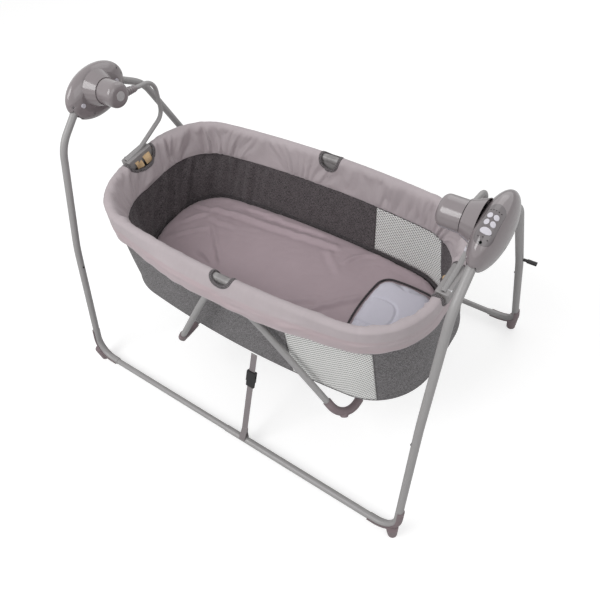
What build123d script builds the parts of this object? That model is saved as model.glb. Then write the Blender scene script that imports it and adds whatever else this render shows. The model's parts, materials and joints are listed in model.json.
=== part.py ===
from build123d import *
import os
from math import atan2, cos, hypot, radians, sin, sqrt

# Baby cradle: a bassinet that swings between two hubs on a folding tube stand.
# Millimetres, +X towards the control hub, +Y to the rear, +Z up.
# The origin lies on the floor under the middle of the stand.

# Stand: half widths (Y) and heights (Z) of the corners of one leg's outline
leg_plane = 560.0
foot_corner_y = 382.5
rail_z = 28.0
knee_y = 268.8
knee_z = 430.0
shoulder_y = 157.2
shoulder_z = 723.0
pivot_y = 62.0
pivot_z = 792.0
leg_end_reach = 12.0
corner_bend = 60.0
knee_bend = 600.0
shoulder_bend = 120.0
leg_tube = 20.0
leg_wall = 1.2
slip = 0.1
leg_joint_z = 397.0
spigot_length = 42.0
short_rail_x = -474.0
long_rail_x = -8.0
rail_insert_short = 20.0
rail_insert_long = 40.0
snap_button = 6.0
snap_button_drop = 32.0
snap_button_proud = 1.5
snap_button_length = 9.0
peg_length = 34.0
peg_neck = 8.0
peg_head = 11.0
peg_neck_length = 10.0
peg_z = 452.0
peg_y = 262.0

# Rubber feet of the stand
foot_pad = 26.0
foot_top = 33.0
foot_inset_x = 8.0
saddle_wall = 2.8
saddle_gap = 0.2
saddle_rail_length = 18.0
saddle_leg_length = 32.0
foot_cup_height = 50.0

# Hubs: an egg shape about the parting plane
parting_x = 562.0
hub_y = 4.0
hub_z = 791.6
hub_half_length = 99.0
hub_half_height = 67.0
hub_depth = 34.0
hub_face_depth = 25.0
hub_wall = 2.5
hub_lip = 0.2
collar_base = 50.0
collar_top = 36.0
collar_end_x = 507.0
collar_plate = 3.0
slot_side_gap = 1.5
slot_reach = 40.0
slot_margin_angle = 4.0
fold_angle = 26.0
fold_pin = 8.0
fold_pin_fit = 0.02
fold_boss = 20.0
fold_boss_gap = 0.5
fold_pin_seat = 14.0
release_button = 12.0
release_gap = 0.4
release_proud = 2.0
release_travel = 2.5
release_back_gap = 0.5
release_length = 5.0
screw_shank = 3.5
screw_head = 6.5
screw_head_height = 3.0
screw_post = 9.0
screw_clearance = 0.15
screw_bite = 12.0
screw_recess = 6.0

# Swing shaft, bearings and drive
axis_z = 806.0
shaft = 12.0
shaft_fit = 0.03
shaft_tip_x = 459.0
bearing = 24.0
bearing_width = 8.0
bearing_post_wall = 3.0
bearing_inset = 12.0
lever_width = 10.0
lever_thickness = 4.0
lever_length = 42.0
lever_x = 563.0
magnet = 16.0
coil = 26.0
coil_bore = 8.0
coil_width = 9.0
coil_gap = 1.5
coil_post = 12.0

# Drums and swing arms
drum = 68.0
drum_end_x = 452.0
drum_root_x = 505.0
drum_round = 14.0
drum_wall = 3.0
drum_core = 20.0
cap = 26.0
cap_thickness = 3.0
cap_proud = 1.0
arm_x = 490.0
arm_tube = 12.5
arm_wall = 1.2
arm_start_y = 15.0
arm_start_z = 786.0
arm_top_y = 145.0
arm_top_z = 757.0
arm_low_y = 133.0
arm_low_z = 650.0
arm_rim_y = 18.0
arm_rim_z = 611.0
arm_end_y = -40.0
arm_end_z = 607.5
arm_top_bend = 38.0
arm_low_bend = 40.0
arm_rim_bend = 60.0
socket_root = 25.0
socket_tip = 17.0
socket_tip_y = 78.0
socket_rib = 1.0
socket_rib_width = 2.0
socket_rib_count = 4
socket_rib_share = 0.12
arm_screw = 3.0
arm_screw_head = 6.0
arm_screw_head_height = 2.0
arm_screw_y = 64.0

# Bassinet rim: an oval of arcs
rim_half_length = 485.0
rim_half_width = 239.0
rim_z = 591.0
rim_tube = 18.0
rim_wall = 1.2
rim_shares = (0.34, 6.3, 6.0)

# Rim cover, as sizes out from and down from the rim's centre line
cover_radius = 14.0
cover_cloth = 2.5
cover_in_angle = 170.0
cover_out_angle = 39.0
cover_knee_out = 33.0
cover_knee_down = 19.0
cover_knee_angle = 27.0
flap_out = 40.0
flap_down = 46.0
flap_angle = 14.5
seam_in = 28.0
seam_down = 78.0
foam_wall = 2.2
foam_gap = 0.1
mid_notch = 50.0
mid_notch_x = 24.0
end_notch_length = 96.0
end_notch_width = 54.0
notch_gap = 0.3

# Bassinet wall, lining, board and mattress
wall_cloth = 2.5
wall_bottom_z = 302.5
wall_top_gap = 0.4
wall_top_out = 1.5
wall_bottom_out = 4.0
lining_cloth = 2.0
lining_top_z = 512.0
lining_top_half_length = 457.5
lining_top_half_width = 211.0
lining_edge_z = 355.0
lining_edge_half_length = 450.0
lining_edge_half_width = 187.0
lining_foot_half_length = 448.0
lining_foot_half_width = 184.0
lining_shares = (0.3, 8.0, 6.0)
window_left_x = 180.0
window_right_x = 422.0
window_right_low_x = 410.0
window_wall_margin = 6.0
board_thickness = 7.0
board_gap = 0.3
board_edge_gap = 0.6
mattress_gap = 1.0
mattress_thickness = 52.0
mattress_crown_shares = (
    (0.00, 0.985, 0.970), (0.12, 1.000, 1.000), (0.62, 1.000, 1.000), (0.80, 0.985, 0.965),
    (0.91, 0.955, 0.900), (0.965, 0.900, 0.800), (1.00, 0.830, 0.680))
pillow_x = 338.0
pillow_half_length = 91.0
pillow_half_width = 110.0
pillow_thickness = 17.0
pillow_shares = (0.42, 5.0, 5.5)
pillow_crown_shares = (
    (0.00, 0.960), (0.30, 1.000), (0.60, 0.955), (0.66, 0.890), (0.48, 0.820), (0.80, 0.740),
    (0.94, 0.600), (1.00, 0.400))

# Rim clips that hold the swing arms
clip_half_length = 46.0
clip_in_x = 473.0
clip_out_x = 506.0
clip_bottom_z = 580.5
clip_top_z = 609.5
clip_round = 5.0
clip_gap = 0.15
clip_button_y = 28.0
clip_button_z = 593.0
clip_button_length = 14.0
clip_button_height = 10.0
clip_button_depth = 4.5
clip_button_proud = 1.5
clip_button_gap = 0.4
clip_button_travel = 2.0
clip_screw_y = -30.0

# Fold-out legs of the bassinet, with their locks on the rim
lock_x = 32.5
lock_half_length = 52.0
lock_in = 12.0
lock_out = 10.0
lock_bottom_z = 549.0
lock_top_drop = 5.0
lock_ring = 21.6
lock_ring_half_length = 29.0
lock_ridge = 2.0
lock_ridge_height = 0.8
lock_ridge_count = 7
lock_gap = 0.3
lock_pin = 7.0
lock_pin_fit = 0.02
left_leg_pivot_x = -6.3
right_leg_pivot_x = 71.4
leg_pivot_z = 561.0
left_leg_angle = 31.3
right_leg_angle = 37.6
cradle_leg_length = 441.5
cradle_leg_tube = 17.5
cradle_leg_wall = 1.2
cradle_leg_bend = 60.0
cradle_leg_end = 7.0
jog_length = 102.0
jog_bend = 200.0
left_leg_top_y = 260.0
left_leg_side_y = 275.0
right_leg_top_y = 259.5
right_leg_side_y = 254.5
shoe_wall = 2.6
shoe_gap = 0.15
shoe_bar_length = 16.0
shoe_leg_length = 18.0
shoe_pad = 22.0
shoe_pad_drop = 13.0

# Restraint strap under the bassinet, with its side release buckle
strap_x = 57.0
webbing_width = 20.0
webbing = 1.6
strap_low_y = -380.0
strap_low_z = 38.0
strap_high_y = -247.0
strap_high_z = 301.5
strap_loop_gap = 0.2
strap_fold_start = 16.0
strap_fold_length = 18.0
buckle_start = 186.0
prong_body_length = 17.0
prong_body_width = 26.0
prong_body_thickness = 7.0
prong_length = 20.0
prong_width = 4.0
prong_thickness = 4.0
prong_spread = 8.0
socket_length = 34.0
socket_width = 28.0
socket_thickness = 11.0
socket_wall = 2.0
socket_lap = 0.6
socket_bar_length = 8.0

# Control panel, buttons and electronics of the right hub
panel_x = 565.0
panel_y = -36.0
panel_half_width = 17.0
panel_half_length = 44.0
panel_depth = 1.5
panel_gap = 0.2
panel_ledge = 1.5
panel_tilt = 15.0
button_gap = 0.3
button_proud = 1.2
button_depth = 7.0
small_button_half_width = 5.0
small_button_half_length = 5.8
small_button_side = 6.2
button_row_1_y = -22.5
button_row_2_y = -37.0
power_button_y = -53.0
power_button_half_width = 11.0
power_button_half_length = 6.4
panel_hole = 2.2
sound_row_y = -9.0
sound_hole_pitch = 5.2
lamp_row_y = -63.5
lamp_hole_pitch = 9.0
jack_y = -72.0
jack = 6.0
jack_bore = 4.0
jack_length = 12.0
panel_cut_height = 40.0
pcb_thickness = 1.6
pcb_half_length = 22.0
pcb_half_width = 11.0
pcb_y = -38.0
pcb_drop = 18.0
pcb_post = 3.0
pcb_post_ys = (-29.8, -43.6)
chip = 7.0
chip_height = 1.5
speaker = 20.0
speaker_height = 8.0
speaker_y = -4.0
speaker_drop = 9.0
speaker_ring_wall = 1.6

# One overrun serves every through cut
over = 2.0


def rod(start, end, diameter, bore=0):
    """A straight round bar or pipe between two points."""
    run = Vector(*end) - Vector(*start)
    profile = Circle(diameter / 2)
    if bore:
        profile -= Circle(bore / 2)
    return extrude(Plane(origin=start, z_dir=run) * profile, amount=run.length)


def pipe(points, bends, diameter, bore=0, x_dir=None, profile=None):
    """A bent tube: straight runs joined by tangent arcs."""
    path = FilletPolyline(*points, radius=bends)
    start = Plane(origin=path @ 0, z_dir=path % 0, x_dir=x_dir)
    if profile is None:
        profile = Circle(diameter / 2)
        if bore:
            profile -= Circle(bore / 2)
    return sweep(start * profile, path=path)


def block(x_range, y_range, z_range):
    """A box given by its limits on each axis."""
    sizes = [high - low for low, high in (x_range, y_range, z_range)]
    middle = [(high + low) / 2 for low, high in (x_range, y_range, z_range)]
    return Pos(*middle) * Box(*sizes)


def oval_edges(half_length, half_width, shares, z=0):
    """An oval of eight tangent arcs and a split end, anticlockwise from (half_length, 0)."""
    corner, side, end = [share * half_length for share in shares]
    side_centre = (0, half_width - side)
    end_centre = (half_length - end, 0)
    gap_x = end_centre[0] - side_centre[0]
    gap_y = end_centre[1] - side_centre[1]
    gap = hypot(gap_x, gap_y)
    along = ((side - corner) ** 2 - (end - corner) ** 2 + gap**2) / (2 * gap)
    across = sqrt((side - corner) ** 2 - along**2)
    corner_x = side_centre[0] + (gap_x * along + gap_y * across) / gap
    corner_y = side_centre[1] + (gap_y * along - gap_x * across) / gap
    if corner_x < 0:
        corner_x = side_centre[0] + (gap_x * along - gap_y * across) / gap
        corner_y = side_centre[1] + (gap_y * along + gap_x * across) / gap
    end_angle = atan2(corner_y, corner_x - end_centre[0])
    side_angle = atan2(corner_y - side_centre[1], corner_x)
    middle_angle = (end_angle + side_angle) / 2

    def on(centre, radius, angle):
        return (centre[0] + radius * cos(angle), centre[1] + radius * sin(angle))

    quarter = [
        (on(end_centre, end, end_angle / 2), on(end_centre, end, end_angle)),
        (on((corner_x, corner_y), corner, middle_angle), on((corner_x, corner_y), corner, side_angle)),
    ]
    edges = []
    last = (half_length, 0)
    top = (0, half_width)
    right_side = on(side_centre, side, side_angle)
    plan = [quarter[0], quarter[1], (top, (-right_side[0], right_side[1]))]
    mirror_left = [
        ((-quarter[1][0][0], quarter[1][0][1]), (-quarter[0][1][0], quarter[0][1][1])),
        ((-half_length, 0), (-quarter[0][1][0], -quarter[0][1][1])),
        ((-quarter[1][0][0], -quarter[1][0][1]), (-right_side[0], -right_side[1])),
        ((0, -half_width), (right_side[0], -right_side[1])),
        ((quarter[1][0][0], -quarter[1][0][1]), (quarter[0][1][0], -quarter[0][1][1])),
        ((quarter[0][0][0], -quarter[0][0][1]), (half_length, 0)),
    ]
    for through, to in plan + mirror_left:
        edges.append(ThreePointArc((*last, z), (*through, z), (*to, z)))
        last = to
    return edges


def oval_face(half_length, half_width, shares, z=0, x=0):
    return Pos(x, 0, 0) * make_face(Wire(oval_edges(half_length, half_width, shares, z)))


def oval_stack(rings, shares, x=0):
    """A solid through a stack of ovals, each (half length, half width, height)."""
    faces = [oval_face(length, width, shares, z, x) for length, width, z in rings]
    return loft(faces, ruled=True)


def around_rim(profile):
    """Sweeps a profile, drawn out from and up from the rim's centre line, round the rim."""
    path = Wire(oval_edges(rim_half_length, rim_half_width, rim_shares, rim_z))
    start = Plane(origin=(rim_half_length, 0, rim_z), x_dir=(1, 0, 0), z_dir=(0, -1, 0))
    return sweep(start * profile, path=path)


def outline(points):
    return make_face(Polyline(*points, close=True))


def both_ends(shape):
    """A piece and its mirror image at the other end of the cradle."""
    return [shape, mirror(shape, Plane.YZ)]


def both_sides(shape):
    """A piece and its mirror image on the other side of the cradle."""
    return [shape, mirror(shape, Plane.XZ)]


def turned(shape):
    """The same piece on the rear frame, which is the front frame turned half round."""
    return Rot(0, 0, 180) * shape


def solids_of(*shapes):
    """All the separate solids of some shapes, as one compound."""
    found = []
    for shape in shapes:
        found += shape.solids()
    return Compound(children=found)


# Folding stand, drawn for the front frame


def leg_y_at(z):
    """Distance of the straight lower leg from the middle, at a height."""
    share = (z - rail_z) / (knee_z - rail_z)
    return foot_corner_y + (knee_y - foot_corner_y) * share


leg_bore = leg_tube - 2 * leg_wall
inner_tube = leg_bore - 2 * slip
inner_bore = inner_tube - 2 * leg_wall
lower_leg_dir = Vector(0, foot_corner_y - knee_y, knee_z - rail_z).normalized()
upper_leg_dir = Vector(0, shoulder_y - pivot_y, pivot_z - shoulder_z).normalized()
joint_point = Vector(0, -leg_y_at(leg_joint_z), leg_joint_z)
button_point = joint_point - lower_leg_dir * snap_button_drop


def upper_leg(side):
    at = Vector(side * leg_plane, 0, 0)
    pivot = Vector(0, -pivot_y, pivot_z)
    points = [
        at + pivot + upper_leg_dir * leg_end_reach,
        at + Vector(0, -shoulder_y, shoulder_z),
        at + Vector(0, -knee_y, knee_z),
        at + joint_point,
    ]
    tube = pipe(points, [shoulder_bend, knee_bend], leg_tube, leg_bore)
    spigot_top = at + joint_point + lower_leg_dir * leg_wall
    spigot_low = at + joint_point - lower_leg_dir * spigot_length
    leg = tube + rod(spigot_low, spigot_top, inner_tube, inner_bore)
    leg += rod(at + joint_point, spigot_top, leg_tube - slip, inner_bore)
    leg -= fold_pin_rod(side, -pivot_y, 2 * fold_pin_fit)
    return leg - snap_button_rod(side, slip)


def fold_pin_rod(side, y, extra):
    """The pin through both tube walls that the leg folds on."""
    start = (side * (leg_plane - leg_tube / 2 - over), y, pivot_z)
    end = (side * (leg_plane + leg_tube / 2 + over), y, pivot_z)
    return rod(start, end, fold_pin + extra)


def snap_button_rod(side, extra):
    """The sprung button that locks the upper leg in the lower one, on the inner side."""
    end = leg_plane - leg_tube / 2 - snap_button_proud
    start = (side * (end + snap_button_length), button_point.Y, button_point.Z)
    return rod(start, (side * end, button_point.Y, button_point.Z), snap_button + 2 * extra)


def lower_leg(side, rail_end_x):
    points = [
        (side * leg_plane, joint_point.Y, joint_point.Z),
        (side * leg_plane, -foot_corner_y, rail_z),
        (rail_end_x, -foot_corner_y, rail_z),
    ]
    leg = pipe(points, [corner_bend], leg_tube, leg_bore)
    return leg - snap_button_rod(side, slip)


def rail():
    start = (short_rail_x - rail_insert_short, -foot_corner_y, rail_z)
    end = (long_rail_x + rail_insert_long, -foot_corner_y, rail_z)
    return rod(start, end, inner_tube, inner_bore)


def foot(side):
    """A saddle under the corner bend, with a tapered pad down to the floor."""
    corner = Vector(side * leg_plane, -foot_corner_y, rail_z)
    rail_side = corner - Vector(side * (corner_bend + saddle_rail_length), 0, 0)
    leg_side = corner + lower_leg_dir * (corner_bend + saddle_leg_length)
    outer = leg_tube / 2 + saddle_gap + saddle_wall
    channel = Circle(outer) - Circle(leg_tube / 2 + saddle_gap)
    channel &= Pos(-outer, 0) * Rectangle(2 * outer, 2 * outer)
    saddle = pipe([rail_side, corner, leg_side], [corner_bend], 0, x_dir=lower_leg_dir, profile=channel)
    pad_at = Pos(side * (leg_plane - foot_inset_x), -foot_corner_y, foot_cup_height / 2)
    pad = pad_at * Cone(foot_pad / 2, foot_top / 2, foot_cup_height)
    core = pipe([rail_side, corner, leg_side], [corner_bend], leg_tube + 2 * saddle_gap)
    inner_side = pipe(
        [rail_side, corner, leg_side], [corner_bend], 0, x_dir=lower_leg_dir,
        profile=Pos(outer, 0) * Rectangle(2 * outer, 4 * outer))
    body = saddle + (pad - inner_side - core)
    return body & block((-2 * leg_plane, 2 * leg_plane), (-2 * leg_plane, 0), (0, knee_z))


def rear_peg():
    """The black peg on the outside of the right rear leg."""
    root = leg_plane + leg_tube / 2
    neck = rod((root, peg_y, peg_z), (root + peg_neck_length, peg_y, peg_z), peg_neck)
    head = rod((root + peg_neck_length, peg_y, peg_z), (root + peg_length, peg_y, peg_z), peg_head)
    return neck + head


# Hubs, drawn for the +X end


def hub_egg(inset):
    """The whole egg of a hub, made smaller all round, or larger with a negative inset."""
    sizes = (hub_depth - inset, hub_half_length - inset, hub_half_height - inset)
    return Pos(parting_x, hub_y, hub_z) * scale(Sphere(1), by=sizes)


def hub_slab(x_range):
    """Everything of the hub's height and length between two distances along the cradle."""
    reach = hub_half_length + over
    return block(x_range, (hub_y - reach, hub_y + reach), (hub_z - reach, hub_z + reach))


def outer_half(inset):
    """The egg's half outside the parting plane."""
    return hub_egg(inset) & hub_slab((parting_x, parting_x + hub_half_length))


def inner_half(inset):
    """The egg's half inside the parting plane, cut off flat at the inner face."""
    return hub_egg(inset) & hub_slab((parting_x - hub_face_depth + inset, parting_x))


def collar(inset):
    """The cone of the inner shell that runs up to the drum."""
    base_x = parting_x - hub_face_depth + over
    base = Pos(base_x, 0, axis_z) * Rot(0, -90, 0) * Circle(collar_base - inset)
    end_x = collar_end_x + (collar_plate if inset else 0)
    end = Pos(end_x, 0, axis_z) * Rot(0, -90, 0) * Circle(collar_top - inset)
    return loft([base, end], ruled=True)


def swept_slot(y_sign):
    """Room for the leg's tube over its whole fold."""
    across = leg_tube + 2 * slot_side_gap
    pivot = (leg_plane, y_sign * pivot_y, pivot_z)
    down = atan2(shoulder_y - pivot_y, pivot_z - shoulder_z)
    reach = hub_half_length + slot_reach
    folded = down - radians(fold_angle + slot_margin_angle)
    opened = down + radians(slot_margin_angle)
    corners = []
    for angle, offset, run in (
            (folded, -across / 2, 0), (folded, -across / 2, reach), (opened, across / 2, reach),
            (opened, across / 2, 0)):
        out = run * sin(angle) + offset * cos(angle)
        drop = -run * cos(angle) + offset * sin(angle)
        corners.append((y_sign * out, drop))
    plane = Plane(origin=pivot, x_dir=(0, 1, 0), z_dir=(1, 0, 0))
    wedge = extrude(plane * outline(corners), across / 2, both=True)
    hole = rod(
        (leg_plane - across / 2, y_sign * pivot_y, pivot_z),
        (leg_plane + across / 2, y_sign * pivot_y, pivot_z), across + 2 * leg_end_reach - leg_tube / 2)
    return wedge + hole


release_pocket = release_length - release_proud + release_travel + release_back_gap

# Places of the hub screws on the inner face, as shares of the hub's half length and half height
screw_shares = ((-0.46, 0.39), (0.18, 0.70), (0.78, 0.38), (-0.90, 0.10), (-0.44, -0.56), (0.88, 0.08))


def screw_places():
    return [
        (hub_y + y_share * hub_half_length, hub_z + z_share * hub_half_height)
        for y_share, z_share in screw_shares
    ]


def face_x_at(y, z):
    """Distance along the cradle of the inner shell's face, at a place on it."""
    rest = 1 - ((y - hub_y) / hub_half_length) ** 2 - ((z - hub_z) / hub_half_height) ** 2
    return parting_x - min(hub_depth * sqrt(max(rest, 0)), hub_face_depth)


def inner_shell(details=()):
    """The inner half shell; its posts, and any further details, are left out of its hollow."""
    face = parting_x - hub_face_depth
    leg_face = leg_plane - leg_tube / 2 - fold_boss_gap
    boss_end = collar_end_x + bearing_inset
    posts = [rod((face, y, z), (parting_x - hub_lip, y, z), screw_post) for y, z in screw_places()]
    for y in (-pivot_y, pivot_y):
        posts.append(rod((face, y, pivot_z), (leg_face, y, pivot_z), fold_boss))
    posts.append(rod((collar_end_x, 0, axis_z), (boss_end, 0, axis_z), bearing + 2 * bearing_post_wall))
    hollow = (inner_half(hub_wall) + collar(hub_wall)) - (posts + list(details))
    # Bores for the shaft, its bearing, the screws, the pins and the release buttons
    bores = [
        rod((collar_end_x - over, 0, axis_z), (parting_x, 0, axis_z), shaft + 2 * release_gap),
        rod((boss_end - bearing_width, 0, axis_z), (boss_end + over, 0, axis_z), bearing),
    ]
    for y, z in screw_places():
        bores.append(rod((face - over, y, z), (parting_x + over, y, z), screw_shank + 2 * screw_clearance))
        recess_end = face_x_at(y, z) + screw_recess
        bores.append(rod((face - over, y, z), (recess_end, y, z), screw_head + 2 * screw_clearance))
    for sign in (-1, 1):
        y = sign * pivot_y
        pocket_end = face_x_at(y, pivot_z) + release_pocket
        bores.append(rod((face - over, y, pivot_z), (pocket_end, y, pivot_z), release_button + 2 * release_gap))
        bores.append(rod((pocket_end - over, y, pivot_z), (parting_x, y, pivot_z), fold_pin))
        bores.append(swept_slot(sign) & hub_slab((leg_face, parting_x + over)))
    shell = (inner_half(0) + collar(0)) - hollow
    for bore in bores:
        shell -= bore
    return shell


def outer_cover(details=()):
    """The outer half shell; its posts, and any further details, are left out of its hollow."""
    end = parting_x + hub_depth
    leg_face = leg_plane + leg_tube / 2 + fold_boss_gap
    boss_start = end - hub_wall - bearing_inset
    posts = [rod((parting_x, y, z), (end, y, z), screw_post) for y, z in screw_places()]
    for y in (-pivot_y, pivot_y):
        posts.append(rod((leg_face, y, pivot_z), (end, y, pivot_z), fold_boss))
    posts.append(rod((boss_start, 0, axis_z), (end, 0, axis_z), bearing + 2 * bearing_post_wall))
    hollow = outer_half(hub_wall) - (posts + list(details))
    # Bores for the bearing, the screws and the pins
    bores = [rod((boss_start - over, 0, axis_z), (boss_start + bearing_width, 0, axis_z), bearing)]
    for y, z in screw_places():
        bores.append(rod((parting_x - over, y, z), (parting_x + screw_bite, y, z), screw_shank))
    for sign in (-1, 1):
        y = sign * pivot_y
        bores.append(rod((leg_face - over, y, pivot_z), (leg_face + fold_pin_seat, y, pivot_z), fold_pin))
        bores.append(swept_slot(sign) & hub_slab((parting_x - over, leg_face)))
    shell = outer_half(0) - hollow
    for bore in bores:
        shell -= bore
    return shell


def fold_pins():
    """The pins of the four leg pivots, seated in the outer covers and the inner bosses."""
    skin_x = face_x_at(pivot_y, pivot_z)
    end = leg_plane + leg_tube / 2 + fold_boss_gap + fold_pin_seat
    pins = []
    for sign in (-1, 1):
        start = (skin_x + release_pocket, sign * pivot_y, pivot_z)
        pins += both_ends(rod(start, (end, sign * pivot_y, pivot_z), fold_pin - 2 * fold_pin_fit))
    return pins


def release(y_sign):
    """A fold release button in the inner shell, in line with the leg's pivot."""
    start = face_x_at(y_sign * pivot_y, pivot_z) - release_proud
    return rod((start, y_sign * pivot_y, pivot_z), (start + release_length, y_sign * pivot_y, pivot_z), release_button)


def hub_screws():
    screws = []
    for y, z in screw_places():
        head_end = face_x_at(y, z) + screw_recess
        shank = screw_shank - 2 * screw_clearance
        screw = rod((head_end - screw_head_height, y, z), (head_end, y, z), screw_head)
        screw += rod((head_end, y, z), (parting_x + screw_bite - screw_clearance, y, z), shank)
        screws += both_ends(screw)
    return screws


def bearings():
    """Ball bearings of the swing shafts, drawn as plain rings."""
    outer = bearing - 2 * shaft_fit
    inner = shaft + 2 * shaft_fit
    near = collar_end_x + bearing_inset - bearing_width
    far = parting_x + hub_depth - hub_wall - bearing_inset
    rings = []
    for start in (near, far):
        rings += both_ends(rod((start, 0, axis_z), (start + bearing_width, 0, axis_z), outer, inner))
    return rings


# Swing shafts, drums and arms, drawn for the +X end


def swing_shaft():
    end = parting_x + hub_depth - hub_wall - bearing_inset + bearing_width
    return rod((shaft_tip_x, 0, axis_z), (end, 0, axis_z), shaft)


def magnet_lever():
    """The lever on the right shaft whose magnet swings past the drive coil."""
    low_z = axis_z - lever_length
    lever = block(
        (lever_x, lever_x + lever_thickness), (-lever_width / 2, lever_width / 2), (low_z, axis_z))
    lever += rod((lever_x, 0, low_z), (lever_x + lever_thickness, 0, low_z), magnet)
    lever += rod((lever_x, 0, axis_z), (lever_x + lever_thickness, 0, axis_z), shaft + lever_width)
    return lever


def coil_start():
    return lever_x + lever_thickness + coil_gap


def drive_coil():
    low_z = axis_z - lever_length
    start = (coil_start(), 0, low_z)
    end = (coil_start() + coil_width, 0, low_z)
    return rod(start, end, coil, coil_bore)


def coil_mount():
    """The post on the outer cover that carries the coil, and its pin through the coil."""
    low_z = axis_z - lever_length
    start = coil_start() + coil_width
    post = rod((start, 0, low_z), (parting_x + hub_depth, 0, low_z), coil_post)
    return [post, rod((coil_start(), 0, low_z), (start + over, 0, low_z), coil_bore - 2 * slip)]


arm_points = [
    Vector(arm_x, arm_start_y, arm_start_z),
    Vector(arm_x, arm_top_y, arm_top_z),
    Vector(arm_x, arm_low_y, arm_low_z),
    Vector(arm_x, arm_rim_y, arm_rim_z),
    Vector(arm_x, arm_end_y, arm_end_z),
]
arm_bends = [arm_top_bend, arm_low_bend, arm_rim_bend]
arm_dir = (arm_points[1] - arm_points[0]).normalized()


def on_arm(y):
    """The place on the arm's first run at a distance to the rear."""
    return arm_points[0] + arm_dir * ((y - arm_start_y) / arm_dir.Y)


def drum_shell():
    """The cup on the shaft's end, with the tapered socket that takes the arm."""
    cup = rod((drum_end_x, 0, axis_z), (drum_root_x, 0, axis_z), drum)
    cup = fillet(cup.edges().filter_by(GeomType.CIRCLE).sort_by(Axis.X)[0], drum_round)
    room = rod((drum_end_x + drum_wall, 0, axis_z), (drum_root_x, 0, axis_z), drum - 2 * drum_wall)
    room = fillet(room.edges().filter_by(GeomType.CIRCLE).sort_by(Axis.X)[0], drum_round - drum_wall)
    cup -= room
    cup += rod((drum_end_x + drum_wall / 2, 0, axis_z), (drum_root_x, 0, axis_z), drum_core)
    tip = on_arm(socket_tip_y)
    root = arm_points[0]
    root_plane = Plane(origin=root, z_dir=arm_dir)
    tip_plane = Plane(origin=tip, z_dir=arm_dir)
    socket = loft([root_plane * Circle(socket_root / 2), tip_plane * Circle(socket_tip / 2)], ruled=True)
    length = (tip - root).length
    for count in range(socket_rib_count):
        middle = root + arm_dir * length * (1 - socket_rib_share * (count + 1))
        share = 1 - socket_rib_share * (count + 1)
        width = socket_root + (socket_tip - socket_root) * share + 2 * socket_rib
        socket += rod(middle, middle + arm_dir * socket_rib_width, width)
    # The socket stops short of the shaft's core
    socket -= rod((drum_end_x, 0, axis_z), (drum_root_x, 0, axis_z), drum_core)
    cup += socket
    cup -= rod(root - arm_dir * over, tip + arm_dir * over, arm_tube + 2 * slip)
    cup -= rod((drum_end_x, 0, axis_z), (drum_root_x + over, 0, axis_z), shaft)
    cup -= rod((drum_end_x - over, 0, axis_z), (drum_end_x + cap_thickness - cap_proud, 0, axis_z), cap + 2 * slip)
    return cup - arm_screw_rod(slip)


def drum_cap():
    start = drum_end_x - cap_proud
    disc = rod((start, 0, axis_z), (start + cap_thickness, 0, axis_z), cap)
    return fillet(disc.edges().filter_by(GeomType.CIRCLE).sort_by(Axis.X)[0], cap_proud / 2)


def arm_screw_rod(extra):
    """The screw down through the socket and the arm, with its head on top."""
    middle = on_arm(arm_screw_y)
    down = Vector(0, arm_dir.Z, -arm_dir.Y)
    end = middle + down * (arm_tube / 2 + over / 2)
    head_end = middle - down * (arm_tube / 2 + over)
    start = head_end - down * (arm_screw_head_height + (socket_rib if extra else 0))
    return rod(start, end, arm_screw + 2 * extra) + rod(start, head_end, arm_screw_head + 2 * extra)


def clip_screw_rod(extra):
    """The screw from the clip's outer side into the end of the arm."""
    share = (clip_screw_y - arm_rim_y) / (arm_end_y - arm_rim_y)
    z = arm_rim_z + (arm_end_z - arm_rim_z) * share
    start = Vector(clip_out_x - arm_screw_head_height, clip_screw_y, z)
    end = Vector(arm_x - arm_tube / 2 - over / 2, clip_screw_y, z)
    head_end = Vector(clip_out_x, clip_screw_y, z)
    return rod(start, end, arm_screw + 2 * extra) + rod(start, head_end, arm_screw_head + 2 * extra)


def swing_arm():
    arm = pipe(arm_points, arm_bends, arm_tube, arm_tube - 2 * arm_wall)
    return arm - arm_screw_rod(slip) - clip_screw_rod(slip)


def rim_clip():
    """The clip that seats on the rim's end and holds the arm in a groove on its top."""
    body = block((clip_in_x, clip_out_x), (-clip_half_length, clip_half_length), (clip_bottom_z, clip_top_z))
    body = fillet(body.edges().filter_by(Axis.Z), clip_round)
    body = chamfer(body.faces().sort_by(Axis.Z)[-1].edges(), clip_round / 4)
    body -= around_rim(Circle(rim_tube / 2 + clip_gap))
    groove = pipe(arm_points, arm_bends, arm_tube + 2 * clip_gap)
    body -= groove
    body -= Pos(0, 0, arm_tube / 2) * groove
    body -= clip_button_box(clip_button_gap, clip_button_travel)
    return body - clip_screw_rod(slip)


def clip_button_box(gap, travel):
    """The release button on the clip's outer side; its pocket is deeper by its travel."""
    start = clip_out_x + clip_button_proud - clip_button_depth - travel - (gap if travel else 0)
    end = clip_out_x + (over if travel else clip_button_proud)
    half_length = clip_button_length / 2 + gap
    half_height = clip_button_height / 2 + gap
    return block(
        (start, end), (clip_button_y - half_length, clip_button_y + half_length),
        (clip_button_z - half_height, clip_button_z + half_height))


# Bassinet rim, cover, wall and lining


def rim_ring():
    ring = Circle(rim_tube / 2) - Circle(rim_tube / 2 - rim_wall)
    return around_rim(ring)


def cover_line(inset):
    """The cover's section from the inner seam, over the crest and down the flap."""
    def moved(out, up, angle):
        return (out - inset * cos(radians(angle)), up - inset * sin(radians(angle)))

    def on_crest(angle):
        return ((cover_radius - inset) * cos(radians(angle)), (cover_radius - inset) * sin(radians(angle)))

    seam = moved(-seam_in, -seam_down, cover_in_angle)
    crest = (on_crest(cover_in_angle), on_crest((cover_in_angle + cover_out_angle) / 2), on_crest(cover_out_angle))
    knee = moved(cover_knee_out, -cover_knee_down, cover_knee_angle)
    hem = moved(flap_out, -flap_down, flap_angle)
    return seam, crest, knee, hem


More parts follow.
